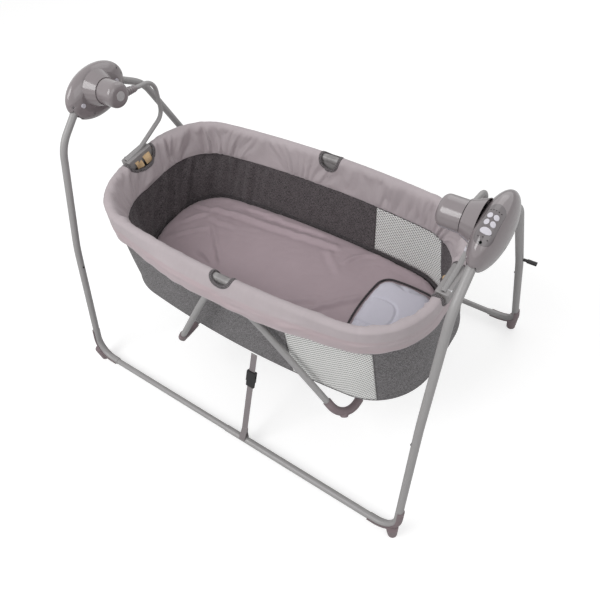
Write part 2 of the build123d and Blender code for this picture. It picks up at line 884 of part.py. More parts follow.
def cover_profile():
    seam, crest, knee, hem = cover_line(0)
    seam_in_side, crest_in_side, knee_in_side, hem_in_side = cover_line(cover_cloth)
    edges = [
        Line(seam, crest[0]),
        ThreePointArc(*crest),
        Line(crest[2], knee),
        Line(knee, hem),
        Line(hem, hem_in_side),
        Line(hem_in_side, knee_in_side),
        Line(knee_in_side, crest_in_side[2]),
        ThreePointArc(*crest_in_side[::-1]),
        Line(crest_in_side[0], seam_in_side),
        Line(seam_in_side, seam),
    ]
    return make_face(Wire(edges))


def notches(extra):
    """The cut-outs over the two clips and the two leg locks, as upright columns."""
    tall = 2 * seam_down
    columns = []
    for side in (-1, 1):
        end = Ellipse(end_notch_width / 2 + extra, end_notch_length / 2 + extra)
        columns.append(Pos(side * rim_half_length, 0, rim_z - tall / 2) * extrude(end, tall))
        middle = Circle(mid_notch / 2 + extra)
        columns.append(Pos(mid_notch_x, side * rim_half_width, rim_z - tall / 2) * extrude(middle, tall))
    return columns


def rim_cover():
    """The padded cover over the rim, cut out at the clips and the leg locks."""
    cover = around_rim(cover_profile())
    foam = around_rim(Circle(rim_tube / 2 + foam_gap + foam_wall) - Circle(rim_tube / 2 + foam_gap))
    for column in notches(0):
        cover -= column
    clip_room = block(
        (clip_in_x - notch_gap, clip_out_x + clip_button_proud + notch_gap),
        (-clip_half_length - notch_gap, clip_half_length + notch_gap),
        (clip_bottom_z - notch_gap, clip_top_z + cover_radius))
    for room in both_ends(clip_room):
        cover -= room
        foam -= room
    for room in both_sides(lock_room()):
        foam -= room
    return cover, foam


wall_top_z = rim_z - rim_tube / 2 - foam_gap - foam_wall - wall_top_gap


def window_prism():
    """The slanted outline of the mesh windows, through the front and the rear."""
    low = wall_bottom_z + window_wall_margin
    high = lining_top_z - over
    points = [(window_left_x, low), (window_right_low_x, low), (window_right_x, high), (window_left_x, high)]
    face = Plane.XZ * outline(points)
    return extrude(face, 2 * rim_half_width, both=True)


def outer_wall_tub():
    """The fabric tub under the rim, with its bottom panel."""
    bottom_half_length = rim_half_length + wall_bottom_out
    bottom_half_width = rim_half_width + wall_bottom_out
    top_half_length = rim_half_length + wall_top_out
    top_half_width = rim_half_width + wall_top_out
    outer = oval_stack(
        [(bottom_half_length, bottom_half_width, wall_bottom_z), (top_half_length, top_half_width, wall_top_z)],
        rim_shares)
    inner = oval_stack(
        [(bottom_half_length - wall_cloth, bottom_half_width - wall_cloth, wall_bottom_z + wall_cloth),
         (top_half_length - wall_cloth, top_half_width - wall_cloth, wall_top_z)],
        rim_shares)
    tub = outer - inner
    for room in both_sides(lock_room()):
        tub -= room
    return tub


def lining_ring():
    """The inner lining from the cover's seam down to the board."""
    foot_z = board_top_z() + board_gap
    rings = [
        (lining_foot_half_length, lining_foot_half_width, foot_z),
        (lining_edge_half_length, lining_edge_half_width, lining_edge_z),
        (lining_top_half_length, lining_top_half_width, lining_top_z),
    ]
    inner = [(length - lining_cloth, width - lining_cloth, z) for length, width, z in rings]
    return oval_stack(rings, lining_shares) - oval_stack(inner, lining_shares)


def board_top_z():
    return wall_bottom_z + wall_cloth + board_gap + board_thickness


def base_board():
    inset = wall_cloth - wall_bottom_out + board_edge_gap + board_thickness / 2
    face = oval_face(rim_half_length - inset, rim_half_width - inset, rim_shares, board_top_z() - board_thickness)
    return extrude(face, board_thickness)


def mattress():
    """The mattress with drawn-in sides and a crowned top."""
    half_length = lining_foot_half_length - lining_cloth - mattress_gap
    half_width = lining_foot_half_width - lining_cloth - mattress_gap
    base_z = board_top_z() + board_gap
    rings = [
        (half_length * length_share, half_width * width_share, base_z + mattress_thickness * height_share)
        for height_share, length_share, width_share in mattress_crown_shares
    ]
    return oval_stack(rings, lining_shares)


def pillow():
    """The head pillow: a raised rim, a sewn channel and an inner crown."""
    base_z = board_top_z() + board_gap + mattress_thickness + board_gap
    rings = [
        (pillow_half_length * share, pillow_half_width * share, base_z + pillow_thickness * height_share)
        for height_share, share in pillow_crown_shares
    ]
    return oval_stack(rings, pillow_shares, pillow_x)


# Fold-out legs of the bassinet and their locks, drawn for the front


def lock_box(extra):
    return block(
        (lock_x - lock_half_length - extra, lock_x + lock_half_length + extra),
        (-rim_half_width - lock_out - extra, -rim_half_width + lock_in + extra),
        (lock_bottom_z - extra, rim_z - lock_top_drop + extra))


def lock_room():
    """Room in the cloth and foam for a leg lock."""
    return lock_box(lock_gap) + lock_ring_rod(lock_gap, lock_ridge_height + lock_gap)


def lock_ring_rod(longer, wider):
    """The sleeve of a lock round the rim, in the middle cut-out."""
    start = (mid_notch_x - lock_ring_half_length - longer, -rim_half_width, rim_z)
    end = (mid_notch_x + lock_ring_half_length + longer, -rim_half_width, rim_z)
    return rod(start, end, lock_ring + 2 * wider)


def leg_lock():
    """A housing clamped on the rim, with a ridged top and a pivot pin for each leg."""
    body = lock_box(0) + lock_ring_rod(0, 0)
    for count in range(lock_ridge_count):
        x = mid_notch_x + (count - (lock_ridge_count - 1) / 2) * 2 * lock_ridge
        ridge_start = (x - lock_ridge / 2, -rim_half_width, rim_z)
        ridge_end = (x + lock_ridge / 2, -rim_half_width, rim_z)
        body += rod(ridge_start, ridge_end, lock_ring + 2 * lock_ridge_height)
    body -= around_rim(Circle(rim_tube / 2 + slip))
    for x, top_y in ((left_leg_pivot_x, left_leg_top_y), (right_leg_pivot_x, right_leg_top_y)):
        body += rod(
            (x, -rim_half_width - lock_out + over, leg_pivot_z),
            (x, -top_y - cradle_leg_tube / 2, leg_pivot_z), lock_pin)
    return body


def cradle_leg_points(pivot_x, angle, top_y, side_y):
    """Half of a leg's route, from the pivot end to the middle of the crossbar."""
    run_x = sin(radians(angle))
    run_z = -cos(radians(angle))
    return [
        Vector(pivot_x - run_x * cradle_leg_end, -top_y, leg_pivot_z - run_z * cradle_leg_end),
        Vector(pivot_x + run_x * jog_length, -side_y, leg_pivot_z + run_z * jog_length),
        Vector(pivot_x + run_x * cradle_leg_length, -side_y, leg_pivot_z + run_z * cradle_leg_length),
    ]


def cradle_leg_route(side):
    if side < 0:
        return cradle_leg_points(left_leg_pivot_x, -left_leg_angle, left_leg_top_y, left_leg_side_y)
    return cradle_leg_points(right_leg_pivot_x, right_leg_angle, right_leg_top_y, right_leg_side_y)


def cradle_leg(side):
    """A U-shaped leg that hangs from both locks."""
    front = cradle_leg_route(side)
    rear = [Vector(point.X, -point.Y, point.Z) for point in front[::-1]]
    bends = [jog_bend, cradle_leg_bend, cradle_leg_bend, jog_bend]
    leg = pipe(front + rear, bends, cradle_leg_tube, cradle_leg_tube - 2 * cradle_leg_wall)
    x = left_leg_pivot_x if side < 0 else right_leg_pivot_x
    reach = left_leg_side_y + cradle_leg_tube
    return leg - rod((x, -reach, leg_pivot_z), (x, reach, leg_pivot_z), lock_pin + 2 * lock_pin_fit)


def cradle_shoe(side):
    """The rubber shoe round the front corner of a leg, with its foot pad."""
    top, jog, corner = cradle_leg_route(side)
    up = (jog - corner).normalized()
    bar_end = corner + Vector(0, cradle_leg_bend + shoe_bar_length, 0)
    leg_end = corner + up * (cradle_leg_bend + shoe_leg_length)
    outer = cradle_leg_tube / 2 + shoe_gap + shoe_wall
    ring = Circle(outer) - Circle(cradle_leg_tube / 2 + shoe_gap)
    shoe = pipe([leg_end, corner, bar_end], [cradle_leg_bend], 0, profile=ring)
    bend_middle = corner + (up + Vector(0, 1, 0)) * cradle_leg_bend * (1 - 1 / sqrt(2))
    out = (corner - bend_middle).normalized()
    pad = rod(bend_middle, bend_middle + out * (outer + shoe_pad_drop - cradle_leg_tube / 2), shoe_pad)
    pad = fillet(pad.edges().filter_by(GeomType.CIRCLE).sort_by(Axis.Z)[0], shoe_pad / 4)
    core = pipe([leg_end, corner, bar_end], [cradle_leg_bend], cradle_leg_tube + 2 * shoe_gap)
    return shoe + (pad - core)


# Restraint strap and buckle, along a slanted line from the front rail to the bassinet

strap_start = Vector(strap_x, strap_low_y, strap_low_z)
strap_end = Vector(strap_x, strap_high_y, strap_high_z)
strap_dir = (strap_end - strap_start).normalized()
socket_start = buckle_start + prong_body_length + socket_lap


def strap_block(start, end, width, thickness, shift=0, lift=0):
    """A flat bar on the strap's line, from one distance along it to another."""
    plane = Plane(origin=strap_start + strap_dir * start, x_dir=(1, 0, 0), z_dir=strap_dir)
    return extrude(plane * Pos(shift, lift) * Rectangle(width, thickness), amount=end - start)


def lower_strap():
    """Webbing looped round the front rail and up to the prong half."""
    half = webbing_width / 2
    bore = leg_tube + 2 * strap_loop_gap
    loop = rod(
        (strap_x - half, -foot_corner_y, rail_z), (strap_x + half, -foot_corner_y, rail_z),
        bore + 2 * webbing, bore)
    run = strap_block(0, buckle_start, webbing_width, webbing)
    fold = strap_block(strap_fold_start, strap_fold_start + strap_fold_length, webbing_width, 3 * webbing)
    core = rod(
        (strap_x - webbing_width, -foot_corner_y, rail_z), (strap_x + webbing_width, -foot_corner_y, rail_z), bore)
    return loop + (run + fold - core)


def buckle_prong():
    body = strap_block(
        buckle_start, buckle_start + prong_body_length, prong_body_width, prong_body_thickness)
    start = buckle_start + prong_body_length
    for shift in (-prong_spread, prong_spread):
        body += strap_block(start, start + prong_length, prong_width, prong_thickness, shift)
    body += strap_block(start, start + prong_length * 2 / 3, prong_width / 2, prong_thickness)
    return body


def buckle_socket():
    end = socket_start + socket_length
    body = strap_block(socket_start, end, socket_width, socket_thickness)
    room = strap_block(
        socket_start - over, end - socket_bar_length, socket_width - 2 * socket_wall,
        socket_thickness - 2 * socket_wall)
    window = strap_block(
        end - socket_bar_length - socket_length / 3, end - socket_bar_length - socket_wall,
        socket_width + over, prong_thickness)
    return body - room - window


def upper_strap():
    start = socket_start + socket_length
    return strap_block(start, (strap_end - strap_start).length, webbing_width, webbing)


# Control panel and electronics, in the right hub

tilt = radians(panel_tilt)
press_dir = Vector(0, sin(tilt), -cos(tilt))


def skin_top_z(x, y):
    """Height of the hub's top skin."""
    rest = 1 - ((x - parting_x) / hub_depth) ** 2 - ((y - hub_y) / hub_half_length) ** 2
    return hub_z + hub_half_height * sqrt(rest)


def press_plane(x, y, drop=0):
    """A plane square to the buttons' travel, on or under the hub's top."""
    at = Vector(x, y, skin_top_z(x, y)) + press_dir * drop
    return Plane(origin=at, x_dir=(1, 0, 0), z_dir=press_dir)


def column(x, y, face):
    """A cut of any outline through the panel, along the buttons' travel."""
    return extrude(press_plane(x, y, -panel_cut_height / 2) * face, panel_cut_height)


button_places = {
    "power_button": (panel_x, power_button_y, power_button_half_width, power_button_half_length),
    "speed_button": (panel_x - small_button_side, button_row_2_y, small_button_half_width, small_button_half_length),
    "timer_button": (panel_x + small_button_side, button_row_2_y, small_button_half_width, small_button_half_length),
    "music_button": (panel_x - small_button_side, button_row_1_y, small_button_half_width, small_button_half_length),
    "volume_button": (panel_x + small_button_side, button_row_1_y, small_button_half_width, small_button_half_length),
}


def panel_outline(extra):
    face = SlotOverall(2 * (panel_half_length + extra), 2 * (panel_half_width + extra), rotation=90)
    return column(panel_x, panel_y, face)


def panel_holes():
    holes = []
    for x, y, half_width, half_length in button_places.values():
        holes.append(column(x, y, Ellipse(half_width + button_gap, half_length + button_gap)))
    return holes


def small_holes():
    holes = []
    for count in (-2, -1, 0, 1, 2):
        holes.append(column(panel_x + count * sound_hole_pitch, sound_row_y, Circle(panel_hole / 2)))
    for count in (-1, 0, 1):
        holes.append(column(panel_x + count * lamp_hole_pitch, lamp_row_y, Circle(panel_hole / 2)))
    return holes


def control_panel():
    """The dark panel let into the hub's top, over the parting line."""
    panel = (panel_outline(0) & hub_egg(-slip)) - hub_egg(panel_depth)
    for hole in panel_holes() + small_holes() + [column(panel_x, jack_y, Circle(jack / 2))]:
        panel -= hole
    for post in board_posts() + [speaker_ring()]:
        panel += post & hub_egg(panel_depth / 2)
    return panel


def cut_for_panel(shell):
    """The recess that takes the panel in the hub's top, and the opening inside its ledge."""
    shell -= panel_outline(panel_gap) - hub_egg(panel_depth + slip)
    return shell - panel_outline(-panel_ledge)


def push_button(name):
    x, y, half_width, half_length = button_places[name]
    body = column(x, y, Ellipse(half_width, half_length))
    top = hub_egg(-button_proud)
    floor = extrude(press_plane(panel_x, panel_y, button_depth) * Rectangle(
        4 * hub_half_length, 4 * hub_half_length), panel_cut_height)
    return body & top - floor


def circuit_board():
    """The board under the buttons, with a chip, and the power socket beside it."""
    plane = press_plane(panel_x, pcb_y, pcb_drop)
    board = extrude(plane * Rectangle(2 * pcb_half_width, 2 * pcb_half_length), pcb_thickness)
    under = press_plane(panel_x, pcb_y, pcb_drop + pcb_thickness)
    board += extrude(under * Rectangle(chip, chip), chip_height)
    inlet_plane = press_plane(panel_x, jack_y, panel_depth)
    inlet = extrude(inlet_plane * (Circle(jack / 2) - Circle(jack_bore / 2)), jack_length)
    return board, inlet


def board_posts():
    """Posts from the panel down to the board."""
    posts = []
    plane = press_plane(panel_x, pcb_y, pcb_drop)
    for y in pcb_post_ys:
        foot_place = (plane * Pos(0, (pcb_y - y) / cos(tilt), 0)).position
        posts.append(rod(foot_place - press_dir * (pcb_drop + over), foot_place, pcb_post))
    return posts


def speaker_unit():
    plane = press_plane(panel_x, speaker_y, speaker_drop)
    return extrude(plane * Circle(speaker / 2), speaker_height)


def speaker_ring():
    """The ring under the sound holes that the speaker sits against."""
    plane = press_plane(panel_x, speaker_y, -over)
    ring = Circle(speaker / 2) - Circle(speaker / 2 - speaker_ring_wall)
    return extrude(plane * ring, speaker_drop + over)


NODES = {}


def add(name, *shapes):
    NODES[name] = shapes[0] if len(shapes) == 1 else solids_of(*shapes)


def build_stand():
    add("front_upper_legs", upper_leg(-1), upper_leg(1))
    add("front_left_lower_leg", lower_leg(-1, short_rail_x))
    add("front_right_lower_leg", lower_leg(1, long_rail_x))
    add("front_rail", rail())
    add("front_feet", foot(-1), foot(1))
    add("front_snap_buttons", snap_button_rod(-1, 0), snap_button_rod(1, 0))
    add("rear_upper_legs", turned(upper_leg(-1)), turned(upper_leg(1)))
    add("rear_right_lower_leg", turned(lower_leg(-1, short_rail_x)))
    add("rear_left_lower_leg", turned(lower_leg(1, long_rail_x)))
    add("rear_rail", turned(rail()))
    add("rear_feet", turned(foot(-1)), turned(foot(1)))
    add("rear_snap_buttons", turned(snap_button_rod(-1, 0)), turned(snap_button_rod(1, 0)))
    add("rear_leg_peg", rear_peg())


def build_hubs():
    left_cover = mirror(outer_cover(), Plane.YZ)
    left_shell = mirror(inner_shell(), Plane.YZ)
    add("left_hub_outer_cover", left_cover)
    add("left_hub_inner_shell", left_shell)
    add("right_hub_outer_cover", cut_for_panel(outer_cover(coil_mount())))
    add("right_hub_inner_shell", cut_for_panel(inner_shell()))
    add("control_panel", control_panel())
    add("shaft_bearings", *bearings())
    add("leg_pivot_pins", *fold_pins())
    add("hub_screws", *hub_screws())
    add("circuit_board", *circuit_board())
    add("speaker", speaker_unit())
    add("drive_coil", drive_coil())
    for name in button_places:
        add(name, push_button(name))
    for y_sign, side in ((-1, "front"), (1, "rear")):
        right, left = both_ends(release(y_sign))
        add("left_%s_release" % side, left)
        add("right_%s_release" % side, right)


def build_swing():
    right_drum, left_drum = both_ends(drum_shell())
    right_arm, left_arm = both_ends(swing_arm())
    right_button, left_button = both_ends(clip_button_box(0, 0))
    add("left_drum", left_drum)
    add("right_drum", right_drum)
    add("drum_caps", *both_ends(drum_cap()))
    add("swing_shafts", mirror(swing_shaft(), Plane.YZ), swing_shaft() + magnet_lever())
    add("left_swing_arm", left_arm)
    add("right_swing_arm", right_arm)
    add("arm_screws", *both_ends(arm_screw_rod(0)), *both_ends(clip_screw_rod(0)))
    add("rim_clips", *both_ends(rim_clip()))
    add("left_clip_button", left_button)
    add("right_clip_button", right_button)


def build_bassinet():
    tub = outer_wall_tub()
    lining = lining_ring()
    window = window_prism()
    add("rim_tube", rim_ring())
    add("rim_cover", *rim_cover())
    add("outer_wall", tub - window)
    add("inner_lining", lining - window)
    add("mesh_windows", tub & window, lining & window)
    add("base_board", base_board())
    add("mattress", mattress())
    add("pillow", pillow())
    add("leg_locks", *both_sides(leg_lock()))
    for side, name in ((-1, "left"), (1, "right")):
        add("%s_cradle_leg" % name, cradle_leg(side))
        add("%s_leg_feet" % name, *both_sides(cradle_shoe(side)))


def build_strap():
    add("lower_strap", lower_strap())
    add("buckle_prong", buckle_prong())
    add("upper_strap", upper_strap())
    add("buckle_socket", buckle_socket())


def main():
    build_stand()
    build_hubs()
    build_swing()
    build_bassinet()
    build_strap()
    os.makedirs("parts", exist_ok=True)
    for name, shape in NODES.items():
        export_step(shape, "parts/%s.step" % name)


main()
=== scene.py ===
"""The looks of the baby cradle: its cloth, cushions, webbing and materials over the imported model."""
import json
import math
from bisect import bisect_right
from itertools import accumulate

import bpy
from mathutils import Matrix, Vector, noise


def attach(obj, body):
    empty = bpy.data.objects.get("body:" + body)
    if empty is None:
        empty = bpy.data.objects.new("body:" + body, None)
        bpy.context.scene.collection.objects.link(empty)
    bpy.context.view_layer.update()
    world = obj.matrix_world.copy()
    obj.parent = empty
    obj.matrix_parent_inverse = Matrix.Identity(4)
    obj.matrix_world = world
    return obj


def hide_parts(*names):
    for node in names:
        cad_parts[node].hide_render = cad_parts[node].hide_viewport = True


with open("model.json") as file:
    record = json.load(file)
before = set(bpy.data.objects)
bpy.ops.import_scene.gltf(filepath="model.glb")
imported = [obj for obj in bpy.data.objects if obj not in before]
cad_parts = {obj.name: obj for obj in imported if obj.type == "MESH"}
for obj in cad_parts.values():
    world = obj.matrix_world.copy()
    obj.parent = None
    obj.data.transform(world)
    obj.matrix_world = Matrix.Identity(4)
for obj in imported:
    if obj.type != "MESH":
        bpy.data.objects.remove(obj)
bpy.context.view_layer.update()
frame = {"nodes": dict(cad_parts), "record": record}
MM = 0.001
scene = bpy.context.scene

# Sizes of the cradle in millimetres, as in the part's source
RIM = (485.0, 239.0)
RIM_SHARES = (0.34, 6.3, 6.0)
RIM_Z = 591.0
CREST = 14.0
CREST_IN = 170.0
CREST_OUT = 39.0
KNEE = (33.0, -19.0)
HEM = (40.0, -46.0)
SEAM = (-28.0, -78.0)
CLOTH = 2.5
LINING_CLOTH = 2.0
NET_CLOTH = 0.9
WALL_LOW = 302.5
WALL_HIGH = 578.0
WALL_HUNG = RIM_Z - 11.7
WALL_LOW_OUT = 4.0
WALL_HIGH_OUT = 1.5
LINING_SHARES = (0.3, 8.0, 6.0)
LINING_RINGS = ((312.8, 448.0, 184.0), (355.0, 450.0, 187.0), (512.0, 457.5, 211.0))
WINDOW_LEFT = 180.0
WINDOW_RIGHT_LOW = 410.0
WINDOW_RIGHT_HIGH = 405.0
WINDOW_BOTTOM = 303.6
WINDOW_TOP = 510.0
LINING_WINDOW_LOW = 368.0
LINING_WINDOW_RIGHT_LOW = 412.0
LINING_WINDOW_RIGHT_HIGH = 381.0
LOCK_LEFT = -20.0
LOCK_RIGHT = 85.0
LOCK_BOTTOM = 548.0
MID_NOTCH_X = 24.0
MATTRESS = (445.0, 181.0)
MATTRESS_LOW = 312.6
MATTRESS_HIGH = 364.6
MATTRESS_GAP = LINING_CLOTH + 0.4
MATTRESS_CURL = 8.0
PILLOW_X = 338.0
PILLOW = (91.0, 110.0)
PILLOW_SHARES = (0.42, 5.0, 5.5)
PILLOW_LOW = 364.9
PILLOW_HIGH = 382.0
STRAP_X = 57.0
STRAP_START = Vector((STRAP_X, -380.0, 38.0))
STRAP_END = Vector((STRAP_X, -247.0, 301.5))
STRAP_ALONG = (STRAP_END - STRAP_START).normalized()
STRAP_OVER = Vector((0, -STRAP_ALONG.z, STRAP_ALONG.y))
WEBBING_WIDTH = 20.0
WEBBING = 1.6
RAIL = (-382.5, 28.0)
RAIL_LOOP = 11.2
BUCKLE_FROM = 186.0
BUCKLE_TO = 237.6

# Camera, measured from the photograph: sensor and lens in millimetres, its place in metres
SENSOR_WIDTH = 36.0
LENS = 37.108
CAMERA_RIGHT = Vector((0.81809766, 0.56135933, -0.12486762))
CAMERA_UP = Vector((-0.38414128, 0.69501962, 0.60776904))
CAMERA_PLACE = (0.8151, -0.8249, 1.6827)


def add_object(name, data):
    """A new object in the scene."""
    made = bpy.data.objects.new(name, data)
    scene.collection.objects.link(made)
    return made


def make_camera():
    data = bpy.data.cameras.new("camera")
    data.sensor_fit = "HORIZONTAL"
    data.sensor_width = SENSOR_WIDTH
    data.lens = LENS
    camera = add_object("camera", data)
    place = Matrix((CAMERA_RIGHT, CAMERA_UP, CAMERA_RIGHT.cross(CAMERA_UP))).transposed().to_4x4()
    place.translation = CAMERA_PLACE
    camera.matrix_world = place
    scene.camera = camera


# Small mathematics


def ease(low, high, value):
    """0 up to low, 1 from high on, smooth between."""
    share = min(1.0, max(0.0, (value - low) / (high - low)))
    return share * share * (3 - 2 * share)


def between(value, low, high, from_low, from_high):
    """A value that changes evenly from low to high."""
    return from_low + (from_high - from_low) * (value - low) / (high - low)


def bump(value, width):
    return math.exp(-((value / width) ** 2))


def wobble(x, y, long, tall, seed):
    """Smooth noise from about -0.6 to 0.6, with waves so long along x and so tall along y."""
    return noise.noise(Vector((x / long, y / tall, seed)))


def folds(x, y, long, tall, seed):
    """The same with sharp valleys at 0 and round crests."""
    return abs(wobble(x, y, long, tall, seed))


def divided(line, step):
    """A line of points with more between them, about step apart."""
    fine = []
    for first, second in zip(line, line[1:]):
        count = max(1, round(math.dist(first, second) / step))
        fine += [[a + (b - a) * k / count for a, b in zip(first, second)] for k in range(count)]
    return fine + [list(line[-1])]


def runs_along(line):
    """How far along a line of points each one is."""
    return list(accumulate((math.dist(a, b) for a, b in zip(line, line[1:])), initial=0.0))


def side_at(runs, run):
    """The side of a line that a run along it falls on, and the share along that side."""
    at = min(bisect_right(runs, run), len(runs) - 1) - 1
    return at, (run - runs[at]) / max(runs[at + 1] - runs[at], 1e-6)


class Oval:
    """An oval of tangent arcs, measured anticlockwise from (half length, 0)."""

    def __init__(self, half_length, half_width, shares):
        self.half_length, self.half_width = half_length, half_width
        corner, side, end = [share * half_length for share in shares]
        side_y = half_width - side
        end_x = half_length - end
        gap = math.hypot(end_x, side_y)
        along = ((side - corner) ** 2 - (end - corner) ** 2 + gap**2) / (2 * gap)
        across = math.sqrt((side - corner) ** 2 - along**2)
        corner_x = (end_x * along - side_y * across) / gap
        corner_y = side_y + (-side_y * along - end_x * across) / gap
        if corner_x < 0:
            corner_x = (end_x * along + side_y * across) / gap
            corner_y = side_y + (-side_y * along + end_x * across) / gap
        end_turn = math.atan2(corner_y, corner_x - end_x)
        side_turn = math.atan2(corner_y - side_y, corner_x)
        half, full = math.pi, 2 * math.pi
        turns = (
            0, end_turn, side_turn, half - side_turn, half - end_turn, half + end_turn, half + side_turn,
            full - side_turn, full - end_turn, full)
        centres = (
            (end_x, 0, end), (corner_x, corner_y, corner), (0, side_y, side), (-corner_x, corner_y, corner),
            (-end_x, 0, end), (-corner_x, -corner_y, corner), (0, -side_y, side),
            (corner_x, -corner_y, corner), (end_x, 0, end))
        self.arcs = [(*centre, start, stop) for centre, start, stop in zip(centres, turns, turns[1:])]
        self.length = sum(radius * (stop - start) for _, _, radius, start, stop in self.arcs)

    def at(self, run):
        """The point at a distance round, and the direction out from the oval there."""
        run %= self.length
        for x, y, radius, start, stop in self.arcs:
            reach = radius * (stop - start)
            if run <= reach:
                break
            run -= reach
        turn = start + run / radius
        out = Vector((math.cos(turn), math.sin(turn), 0))
        return Vector((x, y, 0)) + out * radius, out

    def around(self, count, z, centre_x=0.0):
        """Points evenly round the oval, at one height."""
        spots = [self.at(self.length * k / count)[0] for k in range(count)]
        return [Vector((spot.x + centre_x, spot.y, z)) for spot in spots]

    def locate(self, x, y):
        """The distance round of the nearest point, and how far outside the oval (x, y) is."""
        found = None
        run = 0.0
        slack = 1e-6
        for arc_x, arc_y, radius, start, stop in self.arcs:
            turn = math.atan2(y - arc_y, x - arc_x) % (2 * math.pi)
            if start - slack <= turn <= stop + slack:
                out = math.hypot(x - arc_x, y - arc_y) - radius
                if found is None or abs(out) < abs(found[1]):
                    found = (run + radius * (turn - start), out)
            run += radius * (stop - start)
        return found

    def at_x(self, x, front):
        """The distance round at which the front or the rear side passes x."""
        low, high = 0.0, self.length / 2
        for _ in range(40):
            middle = (low + high) / 2
            if self.at(middle)[0].x > x:
                low = middle
            else:
                high = middle
        return self.length - low if front else low


class Outline:
    """A closed line in a plane, as many points."""

    def __init__(self, points):
        self.points = [Vector(p) for p in points]
        self.low = [min(p[k] for p in self.points) for k in (0, 1)]
        self.high = [max(p[k] for p in self.points) for k in (0, 1)]

    def sides(self):
        return zip([self.points[-1]] + self.points, self.points)

    def inside(self, x, y):
        if not (self.low[0] < x < self.high[0] and self.low[1] < y < self.high[1]):
            return False
        odd = False
        for last, point in self.sides():
            if (point.y > y) != (last.y > y):
                if x < last.x + (y - last.y) * (point.x - last.x) / (point.y - last.y):
                    odd = not odd
        return odd

    def nearest(self, x, y):
        spot = Vector((x, y))
        found = []
        for last, point in self.sides():
            run = point - last
            share = min(1.0, max(0.0, (spot - last).dot(run) / max(run.length_squared, 1e-9)))
            found.append(last + run * share)
        return min(found, key=lambda there: (there - spot).length)

    def moved_out(self, distance):
        """The outline moved outward, point by point. The points run anticlockwise."""
        moved = []
        count = len(self.points)
        for index, point in enumerate(self.points):
            along = (self.points[(index + 1) % count] - self.points[index - 1]).normalized()
            moved.append(point + Vector((along.y, -along.x)) * distance)
        return moved


# Meshes

NOWHERE = (0.0, 0.0)
CORD_ROUND = 6.3
STITCH_SINK = 0.4
EDGE_ANGLE = 50


class Build:
    """Collects points, faces and texture places of one mesh, in millimetres."""

    def __init__(self):
        self.points, self.faces, self.places = [], [], []

    def face(self, corners, turned=False):
        corners = list(corners)
        self.faces.append(corners[::-1] if turned else corners)
        self.places.append([NOWHERE] * len(corners))

    def grid(self, rows, closed=False, places=None, keep=None, flip=False):
        """Quads between rows of points. places gives each point's texture place."""
        first = len(self.points)
        width = len(rows[0])
        for row in rows:
            self.points += row
        for j in range(len(rows) - 1):
            for i in range(width if closed else width - 1):
                if keep and not keep(j, i):
                    continue
                k = (i + 1) % width
                corners = [(j, i), (j, k), (j + 1, k), (j + 1, i)]
                spots = [NOWHERE] * 4
                if places:
                    spots = [places[a][b] for a, b in corners]
                if places and k == 0:
                    step = places[j][width - 1][0] - places[j][width - 2][0]
                    for spot in (1, 2):
                        row = corners[spot][0]
                        spots[spot] = (places[row][width - 1][0] + step, spots[spot][1])
                face = [first + a * width + b for a, b in corners]
                if flip:
                    face, spots = face[::-1], spots[::-1]
                self.faces.append(face)
                self.places.append(spots)

    def cap_ends(self, rings, sides):
        """Closes both ends of the tube made last."""
        for ring in (0, rings - 1):
            start = len(self.points) - (rings - ring) * sides
            self.face(range(start, start + sides), turned=ring == 0)

    def sweep(self, line, shape, across, closed=False, side=None):
        """A section swept along a line. across gives the texture places round the section."""
        count = len(line)
        rows, places = [], []
        run = 0.0
        for index, point in enumerate(line):
            ahead = line[(index + 1) % count] if closed or index + 1 < count else point
            behind = line[index - 1] if closed or index else point
            along = (ahead - behind).normalized()
            side = side or along.orthogonal().normalized()
            side = (side - along * side.dot(along)).normalized()
            other = along.cross(side)
            rows.append([point + side * x + other * y for x, y in shape])
            places.append([(run * MM, value * MM) for value in across])
            run += (ahead - point).length
        if closed:
            shift = min(range(len(shape)), key=lambda s: (rows[0][s] - rows[-1][0]).length)
            rows.append(rows[0][shift:] + rows[0][:shift])
            places.append([(run * MM, value * MM) for value in across])
        self.grid(rows, closed=True, places=places)
        if not closed:
            self.cap_ends(len(rows), len(shape))

    def tube(self, line, radius, closed=False, sides=8):
        """A round cord along a line of points."""
        turns = [2 * math.pi * step / sides for step in range(sides)]
        shape = [(radius * math.cos(turn), radius * math.sin(turn)) for turn in turns]
        self.sweep(line, shape, [step * radius * CORD_ROUND / sides for step in range(sides)], closed)

    def stitches(self, line, lifts, long, gap, radius, closed=True):
        """Short raised threads along a line, each standing a little off the cloth."""
        if closed:
            line, lifts = line + line[:1], lifts + lifts[:1]
        runs = runs_along(line)
        number = max(1, int(runs[-1] / (long + gap)))
        for thread in range(number):
            ends = []
            for share, rise in ((0.0, -STITCH_SINK), (0.5, 1.0), (1.0, -STITCH_SINK)):
                at, part = side_at(runs, thread * runs[-1] / number + share * long)
                lift = lifts[at].lerp(lifts[at + 1], part)
                ends.append(line[at].lerp(line[at + 1], part) + lift * radius * rise)
            self.tube(ends, radius, sides=5)

    def piece(self, name, slot, paint=None, body="cradle", thick=0.0, sharp=False):
        mesh = bpy.data.meshes.new(name)
        used = sorted({index for face in self.faces for index in face})
        number = {old: new for new, old in enumerate(used)}
        faces = [[number[i] for i in face] for face in self.faces]
        mesh.from_pydata([self.points[i] * MM for i in used], [], faces)
        layer = mesh.uv_layers.new(name="places")
        flat = [value for spots in self.places for spot in spots for value in spot]
        layer.data.foreach_set("uv", flat)
        mesh.validate()
        mesh.update()
        made = dress(add_object(name, mesh), slot, paint, body)
        if thick:
            solid = made.modifiers.new("thickness", "SOLIDIFY")
            solid.thickness = thick * MM
            solid.offset = -1
            solid.use_even_offset = False
        if sharp:
            split = made.modifiers.new("edges", "EDGE_SPLIT")
            split.split_angle = math.radians(EDGE_ANGLE)
        return made


